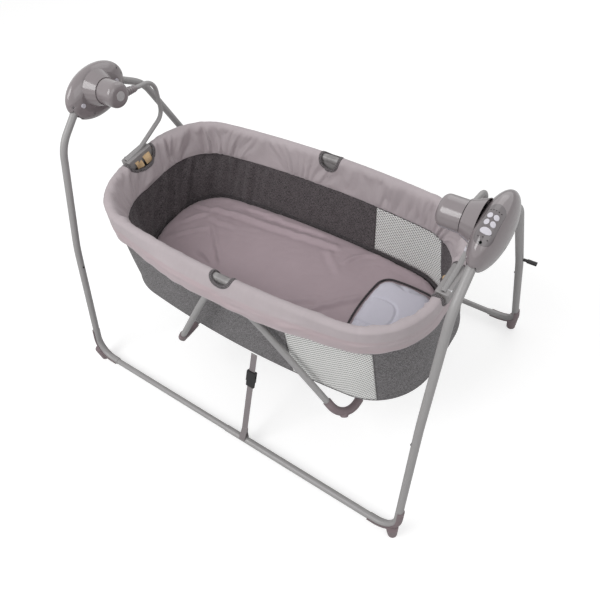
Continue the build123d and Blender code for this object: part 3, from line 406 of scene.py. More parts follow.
def dress(made, slot, paint=None, body="cradle"):
    """Gives a new object its body, and the finish of its slot or another one."""
    for face in made.data.polygons:
        face.use_smooth = True
    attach(made, body)
    made.data.materials.clear()
    made.data.materials.append(MATERIALS[paint or slot])
    return made


# Materials


def linear(value):
    """A colour value from 0 to 255 as light."""
    value /= 255
    return value / 12.92 if value <= 0.04045 else ((value + 0.055) / 1.055) ** 2.4


def tone(rgb, share=1.0):
    return (*[min(1.0, linear(v) * share) for v in rgb], 1.0)


class Nodes:
    """A short way to write a tree of shader nodes."""

    def __init__(self, owner):
        owner.use_nodes = True
        self.tree = owner.node_tree

    def node(self, kind, inputs=(), **settings):
        made = self.tree.nodes.new("ShaderNode" + kind)
        for key, value in settings.items():
            setattr(made, key, value)
        for key, value in dict(inputs).items():
            self.put(made.inputs[key], value)
        return made

    def put(self, socket, value):
        if isinstance(value, bpy.types.NodeSocket):
            self.tree.links.new(value, socket)
        else:
            socket.default_value = value

    def reckon(self, kind, first, second):
        return self.node("Math", {0: first, 1: second}, operation=kind).outputs[0]

    def add(self, first, second):
        return self.reckon("ADD", first, second)

    def times(self, first, second):
        return self.reckon("MULTIPLY", first, second)


class Shader(Nodes):
    """One material's surface, built from noise, waves and cells."""

    def __init__(self, name):
        self.material = bpy.data.materials.new(name)
        super().__init__(self.material)
        self.skin = self.tree.nodes["Principled BSDF"]
        self.where = self.node("TexCoord").outputs["Object"]

    def cloth_places(self):
        return self.node("UVMap", uv_map="places").outputs["UV"]

    def stretched(self, place, scale, turn=0.0):
        return self.node("Mapping", {"Vector": place, "Scale": scale, "Rotation": (0, 0, turn)}).outputs[0]

    def noise(self, place, scale, detail=2.0, rough=0.5):
        """Noise of one scale, or with a scale for each direction."""
        if isinstance(scale, tuple):
            place, scale = self.stretched(place, scale), 1.0
        made = self.node("TexNoise", {"Vector": place, "Scale": scale, "Detail": detail, "Roughness": rough})
        return made.outputs["Fac"]

    def wave(self, place, scale, way, distortion=0.0, detail=2.0):
        inputs = {"Vector": place, "Scale": scale, "Distortion": distortion, "Detail": detail}
        return self.node("TexWave", inputs, bands_direction=way).outputs["Fac"]

    def spread(self, value, low, high, to_low=0.0, to_high=1.0):
        return self.node("MapRange", {0: value, 1: low, 2: high, 3: to_low, 4: to_high}).outputs[0]

    def mix(self, share, first, second):
        return self.node("Mix", {0: share, 6: first, 7: second}, data_type="RGBA").outputs[2]

    def tones(self, share, rgb, low, high):
        """A colour from so much darker to so much lighter."""
        return self.mix(share, tone(rgb, low), tone(rgb, high))

    def finish(self, height, depth, strength=1.0, **values):
        """Sets the surface's values and its bump, and gives the material."""
        for name, value in values.items():
            self.put(self.skin.inputs[name.replace("_", " ")], value)
        made = self.node("Bump", {"Height": height, "Distance": depth, "Strength": strength})
        self.put(self.skin.inputs["Normal"], made.outputs[0])
        return self.material


def moulded(name, rgb, rough, spread=0.05, grain=0.00003, grain_scale=900.0, coat=0.0, metal=0.0):
    """Moulded or painted surface: slow tone changes, fine grain, uneven gloss."""
    shader = Shader(name)
    slow = shader.spread(shader.noise(shader.where, scale=16.0, detail=4.0), 0.3, 0.7)
    fine = shader.noise(shader.where, grain_scale, detail=3.0)
    scuffs = shader.noise(shader.where, scale=75.0, detail=5.0, rough=0.7)
    return shader.finish(
        fine, grain, Base_Color=shader.tones(slow, rgb, 1 - spread, 1 + spread),
        Roughness=shader.spread(scuffs, 0.3, 0.75, rough - 0.02, rough + 0.05),
        Metallic=metal, Coat_Weight=coat, Coat_Roughness=0.12)


def melange(name, dark, light, weave=0.0009, sheen=0.15):
    """Two-tone woven cloth: short dark and light threads both ways, over a plain weave."""
    shader = Shader(name)
    place = shader.cloth_places()
    long, short = 150.0, 620.0
    across = shader.noise(place, (long, short, 1.0), detail=3.0, rough=0.62)
    along = shader.noise(place, (short, long, 1.0), detail=3.0, rough=0.62)
    threads = shader.spread(shader.add(across, along), 0.8, 1.22)
    patches = shader.spread(shader.noise(place, scale=45.0, detail=3.0), 0.25, 0.75, -0.12, 0.12)
    share = shader.add(threads, patches)
    share.node.use_clamp = True
    ribs = [shader.wave(place, 0.31 / weave, way, distortion=1.0, detail=1.0) for way in "XY"]
    return shader.finish(
        shader.add(shader.add(*ribs), threads), 0.00012, 0.8,
        Base_Color=shader.mix(share, tone(dark), tone(light)),
        Roughness=0.9, Sheen_Weight=sheen, Sheen_Roughness=0.5, Specular_IOR_Level=0.2)


def smooth_cloth(name, rgb, shade=0.09, puckering=0.4, uv=True, sheen=0.25, band=None):
    """Closely woven cloth with a soft sheen, small puckers and slow changes of tone. A band adds pink streaks
    of painted fold shade beyond a given height.
    """
    shader = Shader(name)
    place = shader.cloth_places() if uv else shader.where
    slow = shader.spread(shader.noise(shader.where, scale=9.0, detail=3.0), 0.3, 0.7)
    streaks = shader.noise(place, (90.0, 18.0, 30.0), detail=4.0, rough=0.6)
    share = shader.add(shader.times(slow, 0.6), shader.times(streaks, 0.4))
    colour = shader.tones(share, rgb, 1 - shade, 1 + shade)
    # painted shade: beyond the given height of the texture places, pink streaks stand in for the shade in the
    # folds of the flap
    if band:
        low, fold_shade_pink = band
        blur = 0.003
        height = shader.node("SeparateXYZ", {0: place}).outputs[1]
        below = shader.spread(height, low - blur, low + blur)
        fold_shade_streaks = shader.noise(place, (9.0, 30.0, 1.0), detail=3.0)
        below = shader.times(below, shader.spread(fold_shade_streaks, 0.35, 0.65, 0.25, 0.85))
        colour = shader.mix(below, colour, tone(fold_shade_pink))
    weave = shader.noise(place, (2200.0, 2200.0, 2200.0))
    puckers = shader.noise(shader.where, scale=120.0, detail=3.0, rough=0.55)
    return shader.finish(
        shader.add(shader.times(puckers, puckering), shader.times(weave, 0.07)), 0.001, 0.8,
        Base_Color=colour, Roughness=0.72, Sheen_Weight=sheen, Sheen_Roughness=0.4, Specular_IOR_Level=0.3)


def net(name, rgb, pitch=0.0062, hole=0.31, blur=0.06):
    """Spacer net: slanted rows of small holes between knitted threads, the holes painted dark as painted
    shade of the inside seen through them, and partly see-through.
    """
    shader = Shader(name)
    place = shader.cloth_places()
    turned = shader.stretched(place, (0.8 / pitch, 1.25 / pitch, 1.0), math.radians(33))
    cells = shader.node(
        "TexVoronoi", {"Vector": turned, "Scale": 1.0, "Randomness": 0.0}, voronoi_dimensions="2D")
    distance = cells.outputs["Distance"]
    # painted shade: the holes are coloured dark for the shade behind them
    closed = shader.spread(distance, hole - blur, hole + blur)
    fine = shader.noise(place, (900.0, 900.0, 1.0), detail=3.0)
    return shader.finish(
        shader.add(distance, shader.times(fine, 0.3)), 0.0006, 0.7,
        Base_Color=shader.tones(closed, rgb, 0.30, 1.05), Alpha=shader.spread(closed, 0.0, 1.0, 0.55, 1.0),
        Roughness=0.75, Sheen_Weight=0.2, Specular_IOR_Level=0.3)


def webbing_cloth(name, rgb):
    """Flat woven webbing: ribs across, with a fine chevron, painted shade in the grooves and painted
    highlight on the ribs, and random fuzz.
    """
    shader = Shader(name)
    place = shader.cloth_places()
    ribs = shader.wave(place, 210.0, "X", distortion=0.6)
    lines = shader.wave(place, 150.0, "Y", distortion=0.4, detail=1.0)
    fuzz = shader.noise(place, scale=1400.0, detail=3.0)
    share = shader.add(shader.times(shader.times(ribs, lines), 0.6), shader.times(fuzz, 0.4))
    # the colour follows the ribs' height: painted shade in the grooves, painted highlight on the ribs, with
    # random fuzz tone
    return shader.finish(
        share, 0.0003, 0.8, Base_Color=shader.tones(share, rgb, 0.8, 1.12),
        Roughness=0.8, Sheen_Weight=0.2, Specular_IOR_Level=0.3)


def foam_skin(name, rgb):
    """Open-cell foam: small pits and yellowed patches."""
    shader = Shader(name)
    cells = shader.node("TexVoronoi", {"Vector": shader.where, "Scale": 900.0}).outputs["Distance"]
    slow = shader.noise(shader.where, scale=60.0, detail=3.0)
    return shader.finish(cells, 0.0004, Base_Color=shader.tones(slow, rgb, 0.82, 1.1), Roughness=0.95)


def pressed_board(name, rgb):
    """Pressed board with fibres along it."""
    shader = Shader(name)
    fibres = shader.noise(shader.where, (18.0, 240.0, 240.0), detail=5.0, rough=0.65)
    return shader.finish(fibres, 0.0002, Base_Color=shader.tones(fibres, rgb, 0.75, 1.15), Roughness=0.8)


def wound_wire(name, rgb):
    """Enamelled wire, wound in turns, with painted shade in the grooves between turns and painted highlight
    on their tops.
    """
    shader = Shader(name)
    turns = shader.wave(shader.where, 160.0, "X")
    # the colour follows the turns' height: painted shade in the grooves, painted highlight on the tops
    return shader.finish(
        turns, 0.0003, Base_Color=shader.tones(turns, rgb, 0.6, 1.1), Metallic=0.9, Roughness=0.35)


# How each finish is made, its colour (the darker one of a two-tone cloth), and what else it needs
FINISHES = {
    "hub_plastic": (moulded, (139, 131, 133), dict(rough=0.14, spread=0.04, grain=0.00001, coat=0.6)),
    "panel_plastic": (moulded, (112, 106, 108), dict(rough=0.16, grain=0.00001, coat=0.5)),
    "steel": (moulded, (190, 190, 192), dict(rough=0.3, spread=0.08, metal=1.0)),
    "circuit": (moulded, (18, 28, 23), dict(rough=0.45, spread=0.12)),
    "black_plastic": (moulded, (34, 33, 35), dict(rough=0.42, spread=0.1, grain=0.00008)),
    "copper": (wound_wire, (196, 118, 72), {}),
    "frame_tube": (moulded, (160, 158, 158), dict(rough=0.36, spread=0.012, grain=0.000004, coat=0.08)),
    "foot_rubber": (
        moulded, (132, 118, 121), dict(rough=0.5, spread=0.08, grain=0.0001, grain_scale=600.0)),
    "grey_plastic": (moulded, (146, 143, 143), dict(rough=0.34, grain=0.00004, coat=0.2)),
    "cap_plastic": (moulded, (182, 179, 180), dict(rough=0.26, spread=0.04, coat=0.3)),
    "button_plastic": (moulded, (212, 209, 217), dict(rough=0.34, spread=0.04)),
    # the rim cloth's lower flap, from 140 mm from the seam on, gets pink streaks of painted fold shade
    "rim_fabric": (smooth_cloth, (184, 174, 177), dict(band=(0.140, (188, 170, 174)))),
    "wall_fabric": (melange, (64, 62, 63), dict(light=(150, 147, 149))),
    "window_mesh": (net, (236, 236, 234), {}),
    "lining_fabric": (melange, (46, 42, 43), dict(light=(118, 111, 114))),
    "board": (pressed_board, (150, 128, 104), {}),
    "mattress_fabric": (smooth_cloth, (180, 163, 169), dict(shade=0.06, puckering=0.6, uv=False)),
    "pillow_fabric": (smooth_cloth, (218, 216, 228), dict(shade=0.04, puckering=0.4, uv=False)),
    "webbing": (webbing_cloth, (142, 135, 137), {}),
    "foam": (foam_skin, (208, 178, 138), {}),
    "thread": (moulded, (168, 163, 164), dict(rough=0.7, spread=0.1)),
    "piping": (melange, (58, 54, 56), dict(light=(92, 88, 90), sheen=0.05)),
    "dark_tape": (melange, (70, 66, 68), dict(light=(116, 111, 113), weave=0.0006, sheen=0.1)),
}
MATERIALS = {name: make(name, colour, **rest) for name, (make, colour, rest) in FINISHES.items()}
NODE_LOOKS = {"left_drum": "hub_plastic", "right_drum": "hub_plastic"}


def paint_nodes():
    """Gives each carried-over node the finish of its material slot in the record."""
    slots = {part["node"]: part["material_slot"] for part in frame["record"]["subparts"]}
    for name, made in frame["nodes"].items():
        material = MATERIALS[NODE_LOOKS.get(name, slots[name])]
        if made.material_slots:
            for place in made.material_slots:
                place.material = material
        else:
            made.data.materials.append(material)


# The padded cover of the rim. s is the way round the rim, v the distance from the inner seam

rim = Oval(*RIM, RIM_SHARES)
HALF_RIM = rim.length / 2
STEP = 3.0
SECTION_STEP = 1.5
CREST_STEPS = 16
KNEE_ROUNDS = 8
TAPE = 8.0
TAPE_SECTION = (
    (-0.8, -2.4), (-0.8, 0.6), (0.6, 1.3), (3.0, 1.5), (TAPE - 2.0, 1.4), (TAPE, 0.9), (TAPE + 0.2, -0.8))
FLAP_END_SHARE = 0.12
FLAP_DROP_SHARE = 0.5
CREASE_SHARE = 0.62
# half length, depth inside the crest, reach outside it, and how square the cut-out is there
END_NOTCH = (49.0, 42.0, 27.0, 5.0)
MID_NOTCH = (26.0, 40.0, 17.0, 2.2)
INNER_ROUND = 2.3
NOTCH_POINTS = 96


def cover_section():
    """The cover's section as (out, up) points, rounded at the knee."""
    corners = [SEAM]
    for k in range(CREST_STEPS + 1):
        turn = math.radians(CREST_IN + (CREST_OUT - CREST_IN) * k / CREST_STEPS)
        corners.append((CREST * math.cos(turn), CREST * math.sin(turn)))
    line = divided(corners + [KNEE, HEM], SECTION_STEP)
    for _ in range(KNEE_ROUNDS):
        threes = zip(line, line[1:], line[2:])
        middle = [[(a[k] + 2 * b[k] + c[k]) / 4 for k in (0, 1)] for a, b, c in threes]
        line = [line[0]] + middle + [line[-1]]
    return line


SECTION = cover_section()
SECTION_RUN = runs_along(SECTION)
COVER_WIDTH = SECTION_RUN[-1]


def section_at(v):
    """Point and outward normal of the section at a distance from the seam."""
    at, share = side_at(SECTION_RUN, min(COVER_WIDTH, max(0.0, v)))
    point = [a + (b - a) * share for a, b in zip(SECTION[at], SECTION[at + 1])]
    before, after = SECTION[max(0, at - 1)], SECTION[min(len(SECTION) - 1, at + 2)]
    along = (after[0] - before[0], after[1] - before[1])
    size = math.hypot(*along)
    return point, (-along[1] / size, along[0] / size)


def run_at_out(out):
    """The distance from the seam at which the section is so far out."""
    index = next(k for k, point in enumerate(SECTION[1:]) if point[0] >= out)
    return between(out, SECTION[index][0], SECTION[index + 1][0], SECTION_RUN[index], SECTION_RUN[index + 1])


CREST_RUN = run_at_out(0.0)
CREASE_RUN = CREST_RUN + CREASE_SHARE * (COVER_WIDTH - CREST_RUN)
MID_REAR = rim.at_x(MID_NOTCH_X, False)
MID_FRONT = rim.at_x(MID_NOTCH_X, True)


def round_gap(s, centre):
    """The signed way round the rim from centre to s."""
    return (s - centre + HALF_RIM) % rim.length - HALF_RIM


def gathers(s, v):
    """Gathered cloth: round crests and sharp valleys that slant now and then."""
    slant = s + (v - CREST_RUN) * (0.25 + 1.1 * wobble(s, 0.0, 140.0, 1.0, 3.9))
    return 2.4 * folds(slant, v, 36.0, 120.0, 3.1) + 0.8 * folds(slant, v, 16.0, 90.0, 8.7) - 0.3


def cover_ripple(s, v):
    """How far the cloth stands off its plain shape: gathers inside, long waves on the flap."""
    spot, _ = rim.at(s)
    ends = ease(200.0, 400.0, abs(spot.x))
    rear = ease(-50.0, 120.0, spot.y)
    inner = 1 - ease(CREST_RUN - 26.0, CREST_RUN, v)
    strength = 1.4 + 4.6 * ends + 3.8 * rear
    held = 0.3 + 0.7 * ease(0.0, 14.0, v)
    ripple = inner * held * strength * gathers(s, v)
    # creases that fan out from the two middle cut-outs
    for centre in (MID_REAR, MID_FRONT):
        gap = round_gap(s, centre)
        near = bump(gap, 85.0) * (1 - ease(CREST_RUN - 50.0, CREST_RUN - 15.0, v))
        ripple += near * 2.6 * folds(math.atan2(gap, CREST_RUN - v), 0.3, 0.2, 1.0, 5.5)
    # small puckers at the inner edge of the padding, wider ones over its top
    edge = bump(v - CREST_RUN + 9.0, 7.0)
    ripple += edge * (0.5 + 1.3 * ends) * folds(s, v, 8.0, 40.0, 19.4)
    top = bump(v - CREST_RUN - 8.0, 26.0)
    ripple += top * (0.6 + 1.8 * ends) * folds(s, v, 26.0, 60.0, 14.2)
    # waves and slanting pulls of the flap
    flap = ease(CREST_RUN + 12.0, COVER_WIDTH, v)
    ripple += flap * (4.2 * wobble(s, v, 75.0, 200.0, 21.0) + 1.6 * wobble(s, v, 31.0, 80.0, 4.4))
    pull = 1 + wobble(s + 2.2 * v, 0.0, 90.0, 1.0, 27.0)
    ripple += 3.4 * flap * folds(s + 1.6 * v, v, 60.0, 16.0, 25.0) * pull
    # the stitched crease, with a soft roll on each side
    ripple -= 0.8 * bump(v - CREASE_RUN, 2.4)
    return ripple + 0.5 * bump(v - CREASE_RUN - 8.0, 7.0) + 0.5 * bump(v - CREASE_RUN + 9.0, 8.0)


def flap_share(spot):
    """How far the flap hangs out: fully along the middle of the sides, little at the ends."""
    return 1 - (1 - FLAP_END_SHARE) * ease(90.0, 400.0, abs(spot.x))


def cover_at(s, v, lift=0.0):
    """The cover's outer face, or a point so far off it."""
    spot, out = rim.at(s)
    (reach, rise), (lean, up) = section_at(v)
    beyond = max(0.0, reach - CREST * math.cos(math.radians(CREST_OUT)))
    if v > CREST_RUN and beyond:
        lost = beyond * (1 - flap_share(spot))
        reach -= lost
        rise -= FLAP_DROP_SHARE * lost
    off = cover_ripple(s, v) + lift
    over = max(0.0, v - COVER_WIDTH)
    point = spot + out * (reach + lean * off)
    point.z = RIM_Z + rise + up * off - over
    return point


def notch_outline(centre, half, depth, outer, square):
    """A cut-out in the cover, flat (way round, distance from the seam): rounder on the inside."""
    reach = run_at_out(outer) - CREST_RUN
    points = []
    for k in range(NOTCH_POINTS):
        turn = 2 * math.pi * k / NOTCH_POINTS
        power = 2.0 / (INNER_ROUND if math.sin(turn) < 0 else square)
        x = math.copysign(abs(math.cos(turn)) ** power, math.cos(turn)) * half
        y = math.copysign(abs(math.sin(turn)) ** power, math.sin(turn))
        y *= depth if y < 0 else reach
        points.append((centre + x, CREST_RUN + y))
    return Outline(points)


OUTLINES = [
    notch_outline(0.0, *END_NOTCH), notch_outline(HALF_RIM, *END_NOTCH),
    notch_outline(MID_REAR, *MID_NOTCH), notch_outline(MID_FRONT, *MID_NOTCH)]


def make_cover():
    columns = round(rim.length / STEP)
    rows = round(COVER_WIDTH / STEP)
    flat = [
        [(rim.length * i / columns, COVER_WIDTH * j / rows) for i in range(columns)] for j in range(rows + 1)]
    cut = set()
    for outline in OUTLINES:
        centre = (outline.low[0] + outline.high[0]) / 2
        for j, row in enumerate(flat):
            for i, (s, v) in enumerate(row):
                s = centre + round_gap(s, centre)
                if outline.inside(s, v):
                    cut.add((j, i))
                    row[i] = tuple(outline.nearest(s, v))

    def keep(j, i):
        k = (i + 1) % columns
        return not {(j, i), (j, k), (j + 1, k), (j + 1, i)} <= cut

    points = [[cover_at(s, v) for s, v in row] for row in flat]
    places = [[(s * MM, v * MM) for s, v in row] for row in flat]
    build = Build()
    build.grid(points, closed=True, places=places, keep=keep, flip=True)
    return build.piece("rim_cover_cloth", "rim_fabric", thick=CLOTH)


def sew_cover(threads, spots, lift, long, gap, radius):
    """Stitches along a line of the cover."""
    line = [cover_at(s, v, lift) for s, v in spots]
    lifts = [cover_at(s, v, lift + 1.0) - point for (s, v), point in zip(spots, line)]
    threads.stitches(line, lifts, long, gap, radius)


def make_bindings():
    """Dark tape round each cut-out, with two rows of light stitches."""
    tape, threads = Build(), Build()
    turned_in = 0.6
    for outline in OUTLINES:
        rows, places = [], []
        for out, lift in TAPE_SECTION:
            line = outline.moved_out(out)
            rows.append([cover_at(p.x, max(turned_in, p.y), lift) for p in line])
            places.append([(k * 0.004, out * MM) for k in range(len(line))])
        tape.grid(rows, closed=True, places=places)
        for out in (2.2, TAPE - 2.0):
            spots = [(p.x, max(turned_in, p.y)) for p in outline.moved_out(out)]
            sew_cover(threads, spots, lift=1.5, long=2.6, gap=1.5, radius=0.35)
    return (
        tape.piece("rim_notch_binding", "lining_fabric", "dark_tape"),
        threads.piece("rim_notch_stitches", "lining_fabric", "thread"))


def make_cover_trim():
    """Dark piping at the seam to the lining, the flap's stitch line and its rolled hem."""
    piping, hem, sewing, marks = Build(), Build(), Build(), Build()
    count = round(rim.length / 4)
    runs = [rim.length * k / count for k in range(count)]
    line = []
    for s in runs:
        drop = 1.0 + 0.5 * wobble(s, 0.0, 9.0, 1.0, 2.0)
        line.append(cover_at(s, 0.0, -1.0) - Vector((0, 0, drop)))
    piping.tube(line, 1.6, closed=True)
    hem.tube([cover_at(s, COVER_WIDTH, -1.25) for s in runs], 1.9, closed=True)
    sew_cover(sewing, [(s, CREASE_RUN) for s in runs], lift=0.15, long=3.0, gap=1.8, radius=0.3)
    # two bar tacks below the rear cut-out
    v = CREST_RUN - MID_NOTCH[1] - 24.0
    for shift in (-4.0, 4.0):
        start = cover_at(MID_REAR + shift - 1.4, v, 0.5)
        stop = cover_at(MID_REAR + shift + 1.4, v - 1.5, 0.5)
        marks.tube([start, (start + stop) / 2, stop], 1.0)
    return (
        piping.piece("rim_seam_piping", "lining_fabric", "piping"),
        hem.piece("rim_hem_roll", "rim_fabric"),
        sewing.piece("rim_crease_stitches", "rim_fabric"),
        marks.piece("rim_bar_tacks", "rim_fabric", "thread"))


FOAM_RADIUS = 11.2
FOAM_END = 47.0
PUFFS = ((-30.0, -4.0), (3.0, 27.0))
PUFF_ROWS = 9
PUFF_COLUMNS = 12


def make_rim_foam():
    """The foam sleeve on the rim tube between clips and locks, and the foam in the end cut-outs."""
    build = Build()
    left, right = LOCK_LEFT - 1.0, LOCK_RIGHT + 1.0
    stops = [
        (FOAM_END, rim.at_x(right, False)), (rim.at_x(left, False), HALF_RIM - FOAM_END),
        (HALF_RIM + FOAM_END, rim.at_x(left, True)), (rim.at_x(right, True), rim.length - FOAM_END)]
    for start, stop in stops:
        count = round((stop - start) / 6)
        spots = [rim.at(start + (stop - start) * k / count)[0] for k in range(count + 1)]
        build.tube([Vector((spot.x, spot.y, RIM_Z)) for spot in spots], FOAM_RADIUS, sides=20)
    for centre in (0.0, HALF_RIM):
        for start, stop in PUFFS:
            rows = []
            for low in range(PUFF_ROWS + 1):
                v = CREST_RUN - 14.0 - 2.8 * low
                puff = 3.4 * math.sin(math.pi * low / PUFF_ROWS)
                row = []
                for k in range(PUFF_COLUMNS + 1):
                    lift = -5.0 + puff * math.sin(math.pi * k / PUFF_COLUMNS)
                    row.append(cover_at(centre + start + (stop - start) * k / PUFF_COLUMNS, v, lift))
                rows.append(row)
            build.grid(rows)
    return build.piece("rim_foam_sleeve", "mattress_fabric", "foam")


# The tub: outer wall, lining and the net windows

TUB_STEP = 8.0
# cloth columns from one edge of a window or lock gap to the next, from the right end round
TUB_COLUMNS = (30, 44, 18, 20, 90, 90, 20, 18, 44, 30)
WINDOW_BANDS = {1: "rear", 8: "front"}
LOCK_BANDS = (3, 6)
WELT_COUNT = 360
BOTTOM_RINGS = 12
BOTTOM_MIDDLE = 0.002


def wall_window_right(z):
    return between(z, WINDOW_BOTTOM, WINDOW_TOP, WINDOW_RIGHT_LOW, WINDOW_RIGHT_HIGH)


def lining_window_right(z):
    z = min(WINDOW_TOP, max(LINING_WINDOW_LOW, z))
    return between(z, LINING_WINDOW_LOW, WINDOW_TOP, LINING_WINDOW_RIGHT_LOW, LINING_WINDOW_RIGHT_HIGH)


def wall_oval(z):
    out = between(z, WALL_LOW, WALL_HUNG, WALL_LOW_OUT, WALL_HIGH_OUT)
    return Oval(RIM[0] + out, RIM[1] + out, RIM_SHARES)


def lining_oval(z):
    slack = 1e-6
    for low, high in zip(LINING_RINGS, LINING_RINGS[1:]):
        if z <= high[0] + slack:
            break
    half_length, half_width = [between(z, low[0], high[0], low[k], high[k]) for k in (1, 2)]
    return Oval(half_length, half_width, LINING_SHARES)


def wall_ripple(x, z, s):
    free = ease(WALL_LOW, WALL_LOW + 40.0, z) * (1 - ease(500.0, 560.0, z))
    return free * (1.6 * wobble(s, z, 90.0, 120.0, 31.0) + 0.6 * wobble(s, z, 30.0, 60.0, 12.0) - 0.8)


def lining_ripple(x, z, s):
    """Upright folds, deeper towards the left end."""
    left = ease(60.0, 360.0, -x)
    free = ease(340.0, 380.0, z) * (1 - ease(490.0, 512.0, z) * 0.7)
    creases = folds(s + 0.12 * z, z, 34.0, 260.0, 41.0)
    fold = 0.9 - 2.6 * creases + 0.5 * wobble(s, z, 45.0, 100.0, 43.0)
    return free * (1.5 + 8.0 * left) * fold


def tub_rows(levels, oval_at, offset, window_right):
    """Rows of a tub with columns at the windows' and the locks' edges, and each column's band."""
    rows, places = [], []
    for z in levels:
        oval = oval_at(z)
        marks = (window_right(z), WINDOW_LEFT, LOCK_RIGHT, LOCK_LEFT)
        edges = [0.0] + [oval.at_x(x, False) for x in marks] + [oval.length / 2]
        edges += [oval.at_x(x, True) for x in marks[::-1]] + [oval.length]
        row, place, bands = [], [], []
        for index, count in enumerate(TUB_COLUMNS):
            for k in range(count):
                s = edges[index] + (edges[index + 1] - edges[index]) * k / count
                spot, out = oval.at(s)
                point = spot + out * offset(spot.x, z, s)
                point.z = z
                row.append(point)
                place.append((s * MM, z * MM))
                bands.append(index)
        rows.append(row)
        places.append(place)
    return rows, places, bands


def make_tub(name, slot, marks, oval_at, offset, window_right, low, high, thick):
    """A ring of cloth and its two windows."""
    levels = [z for (z,) in divided([(mark,) for mark in marks], TUB_STEP)]
    rows, places, bands = tub_rows(levels, oval_at, offset, window_right)

    def in_window(j):
        return low <= levels[j] and levels[j + 1] <= high

    def is_cloth(j, i):
        if bands[i] in WINDOW_BANDS:
            return not in_window(j)
        return bands[i] not in LOCK_BANDS or levels[j + 1] <= LOCK_BOTTOM

    cloth, seams = Build(), Build()
    cloth.grid(rows, closed=True, places=places, keep=is_cloth)
    made = cloth.piece(f"{name}_cloth", slot, thick=thick)
    nets = []
    first, last = levels.index(low), levels.index(high)
    for band, place in WINDOW_BANDS.items():
        window = Build()
        window.grid(rows, closed=True, places=places, keep=lambda j, i: bands[i] == band and in_window(j))
        nets.append(window.piece(f"{name}_{place}_window", "window_mesh", thick=NET_CLOTH))
        side = [i for i, b in enumerate(bands) if b == band]
        side.append(side[-1] + 1)
        line = [rows[first][i] for i in side] + [rows[j][side[-1]] for j in range(first + 1, last + 1)]
        line += [rows[last][i] for i in side[-2::-1]] + [rows[j][side[0]] for j in range(last - 1, first, -1)]
        seams.tube(line, 0.9, closed=True)
    return made, nets, seams.piece(f"{name}_window_seams", slot)


def make_wall():
    marks = (WALL_LOW, WINDOW_BOTTOM, WINDOW_TOP, LOCK_BOTTOM, WALL_HIGH)
    made, nets, trim = make_tub(
        "outer_wall", "wall_fabric", marks, wall_oval, wall_ripple, wall_window_right, WINDOW_BOTTOM,
        WINDOW_TOP, CLOTH)
    edge = wall_oval(WALL_LOW).around(WELT_COUNT, WALL_LOW + 1.0)
    bottom, piping = Build(), Build()
    rows = []
    for ring in range(BOTTOM_RINGS + 1):
        share = 1 - ring / BOTTOM_RINGS
        near = BOTTOM_MIDDLE + (1 - BOTTOM_MIDDLE) * share
        row = []
        for spot in edge:
            x, y = spot.x * near, spot.y * near
            sag = 1.2 * (1 - share**2) * (1 + wobble(x, y, 80.0, 80.0, 9.0))
            row.append(Vector((x, y, WALL_LOW - sag / 2)))
        rows.append(row)
    places = [[(point.x * MM, point.y * MM) for point in row] for row in rows]
    bottom.grid(rows, closed=True, places=places, flip=True)
    count = len(bottom.points)
    bottom.face(range(count - WELT_COUNT, count), turned=True)
    panel = bottom.piece("bottom_panel_cloth", "wall_fabric", thick=CLOTH)
    piping.tube(edge, 1.4, closed=True)
    return made, nets, trim, panel, piping.piece("bottom_edge_welt", "wall_fabric")


def make_lining():
    marks = (LINING_RINGS[0][0], LINING_WINDOW_LOW, WINDOW_TOP, LINING_RINGS[2][0])
    return make_tub(
        "inner_lining", "lining_fabric", marks, lining_oval, lining_ripple, lining_window_right,
        LINING_WINDOW_LOW, WINDOW_TOP, LINING_CLOTH)


# The mattress and the pillow

# each crease of the mattress: from x and y, to x and y, width and height
MATTRESS_CREASES = (
    (-275, 111, 88, 140, 9, 2.6), (-301, 34, -184, -72, 8, 2.2), (-392, -50, -316, 23, 7, 2.2),
    (-406, 9, -357, 72, 7, 2.4), (-420, 86, -357, 88, 6, 2.2), (-353, 97, -265, 112, 8, 2.6),
    (137, -84, 236, 19, 9, 2.8), (129, 97, 165, 154, 7, 2.4), (174, 153, 222, 192, 7, 2.2),
    (-275, -61, -211, -80, 8, 1.8), (23, -110, 144, -44, 10, 1.8), (-340, 60, -240, 66, 8, 1.8),
    (-180, 150, 30, 168, 7, 1.8), (60, 120, 140, 60, 10, 1.4), (-250, 150, -120, 165, 6, 1.6))
# shares of a pad's height, half length and half width, from its bottom up
MATTRESS_LEVELS = (
    (0.00, 0.985, 0.970), (0.12, 1.000, 1.000), (0.62, 1.000, 1.000), (0.84, 0.999, 0.997),
    (0.94, 0.992, 0.983), (0.985, 0.975, 0.950), (1.00, 0.940, 0.890))
PILLOW_LEVELS = (
    (0.0, 0.93, 0.93), (0.2, 0.99, 0.99), (0.35, 1.0, 1.0), (0.6, 0.97, 0.97), (0.8, 0.90, 0.90),
    (0.93, 0.80, 0.80), (1.0, 0.6, 0.6))
PILLOW_SEAM = (
    (259, 22), (292, 30), (322, 30), (342, 20), (352, 0), (354, -26), (345, -52), (322, -64), (259, -60))
PAD_SIDES = 160
PRESSURE = 4.0
CLOTH_FRAMES = 20
PIPING_POINTS = 420
BINDING_POINTS = 260


def crease(x, y, x0, y0, x1, y1, width, height):
    """A soft ridge between two points, with a small dip beside it."""
    run_x, run_y = x1 - x0, y1 - y0
    size = math.hypot(run_x, run_y)
    along = ((x - x0) * run_x + (y - y0) * run_y) / size
    side = ((x - x0) * run_y - (y - y0) * run_x) / size
    side += 5.0 * wobble(along, x0, 35.0, 50.0, 17.0)
    fade = ease(-15.0, 20.0, along) * (1 - ease(size - 20.0, size + 15.0, along))
    return height * fade * (bump(side, width) - 0.55 * bump(side - 1.7 * width, width))


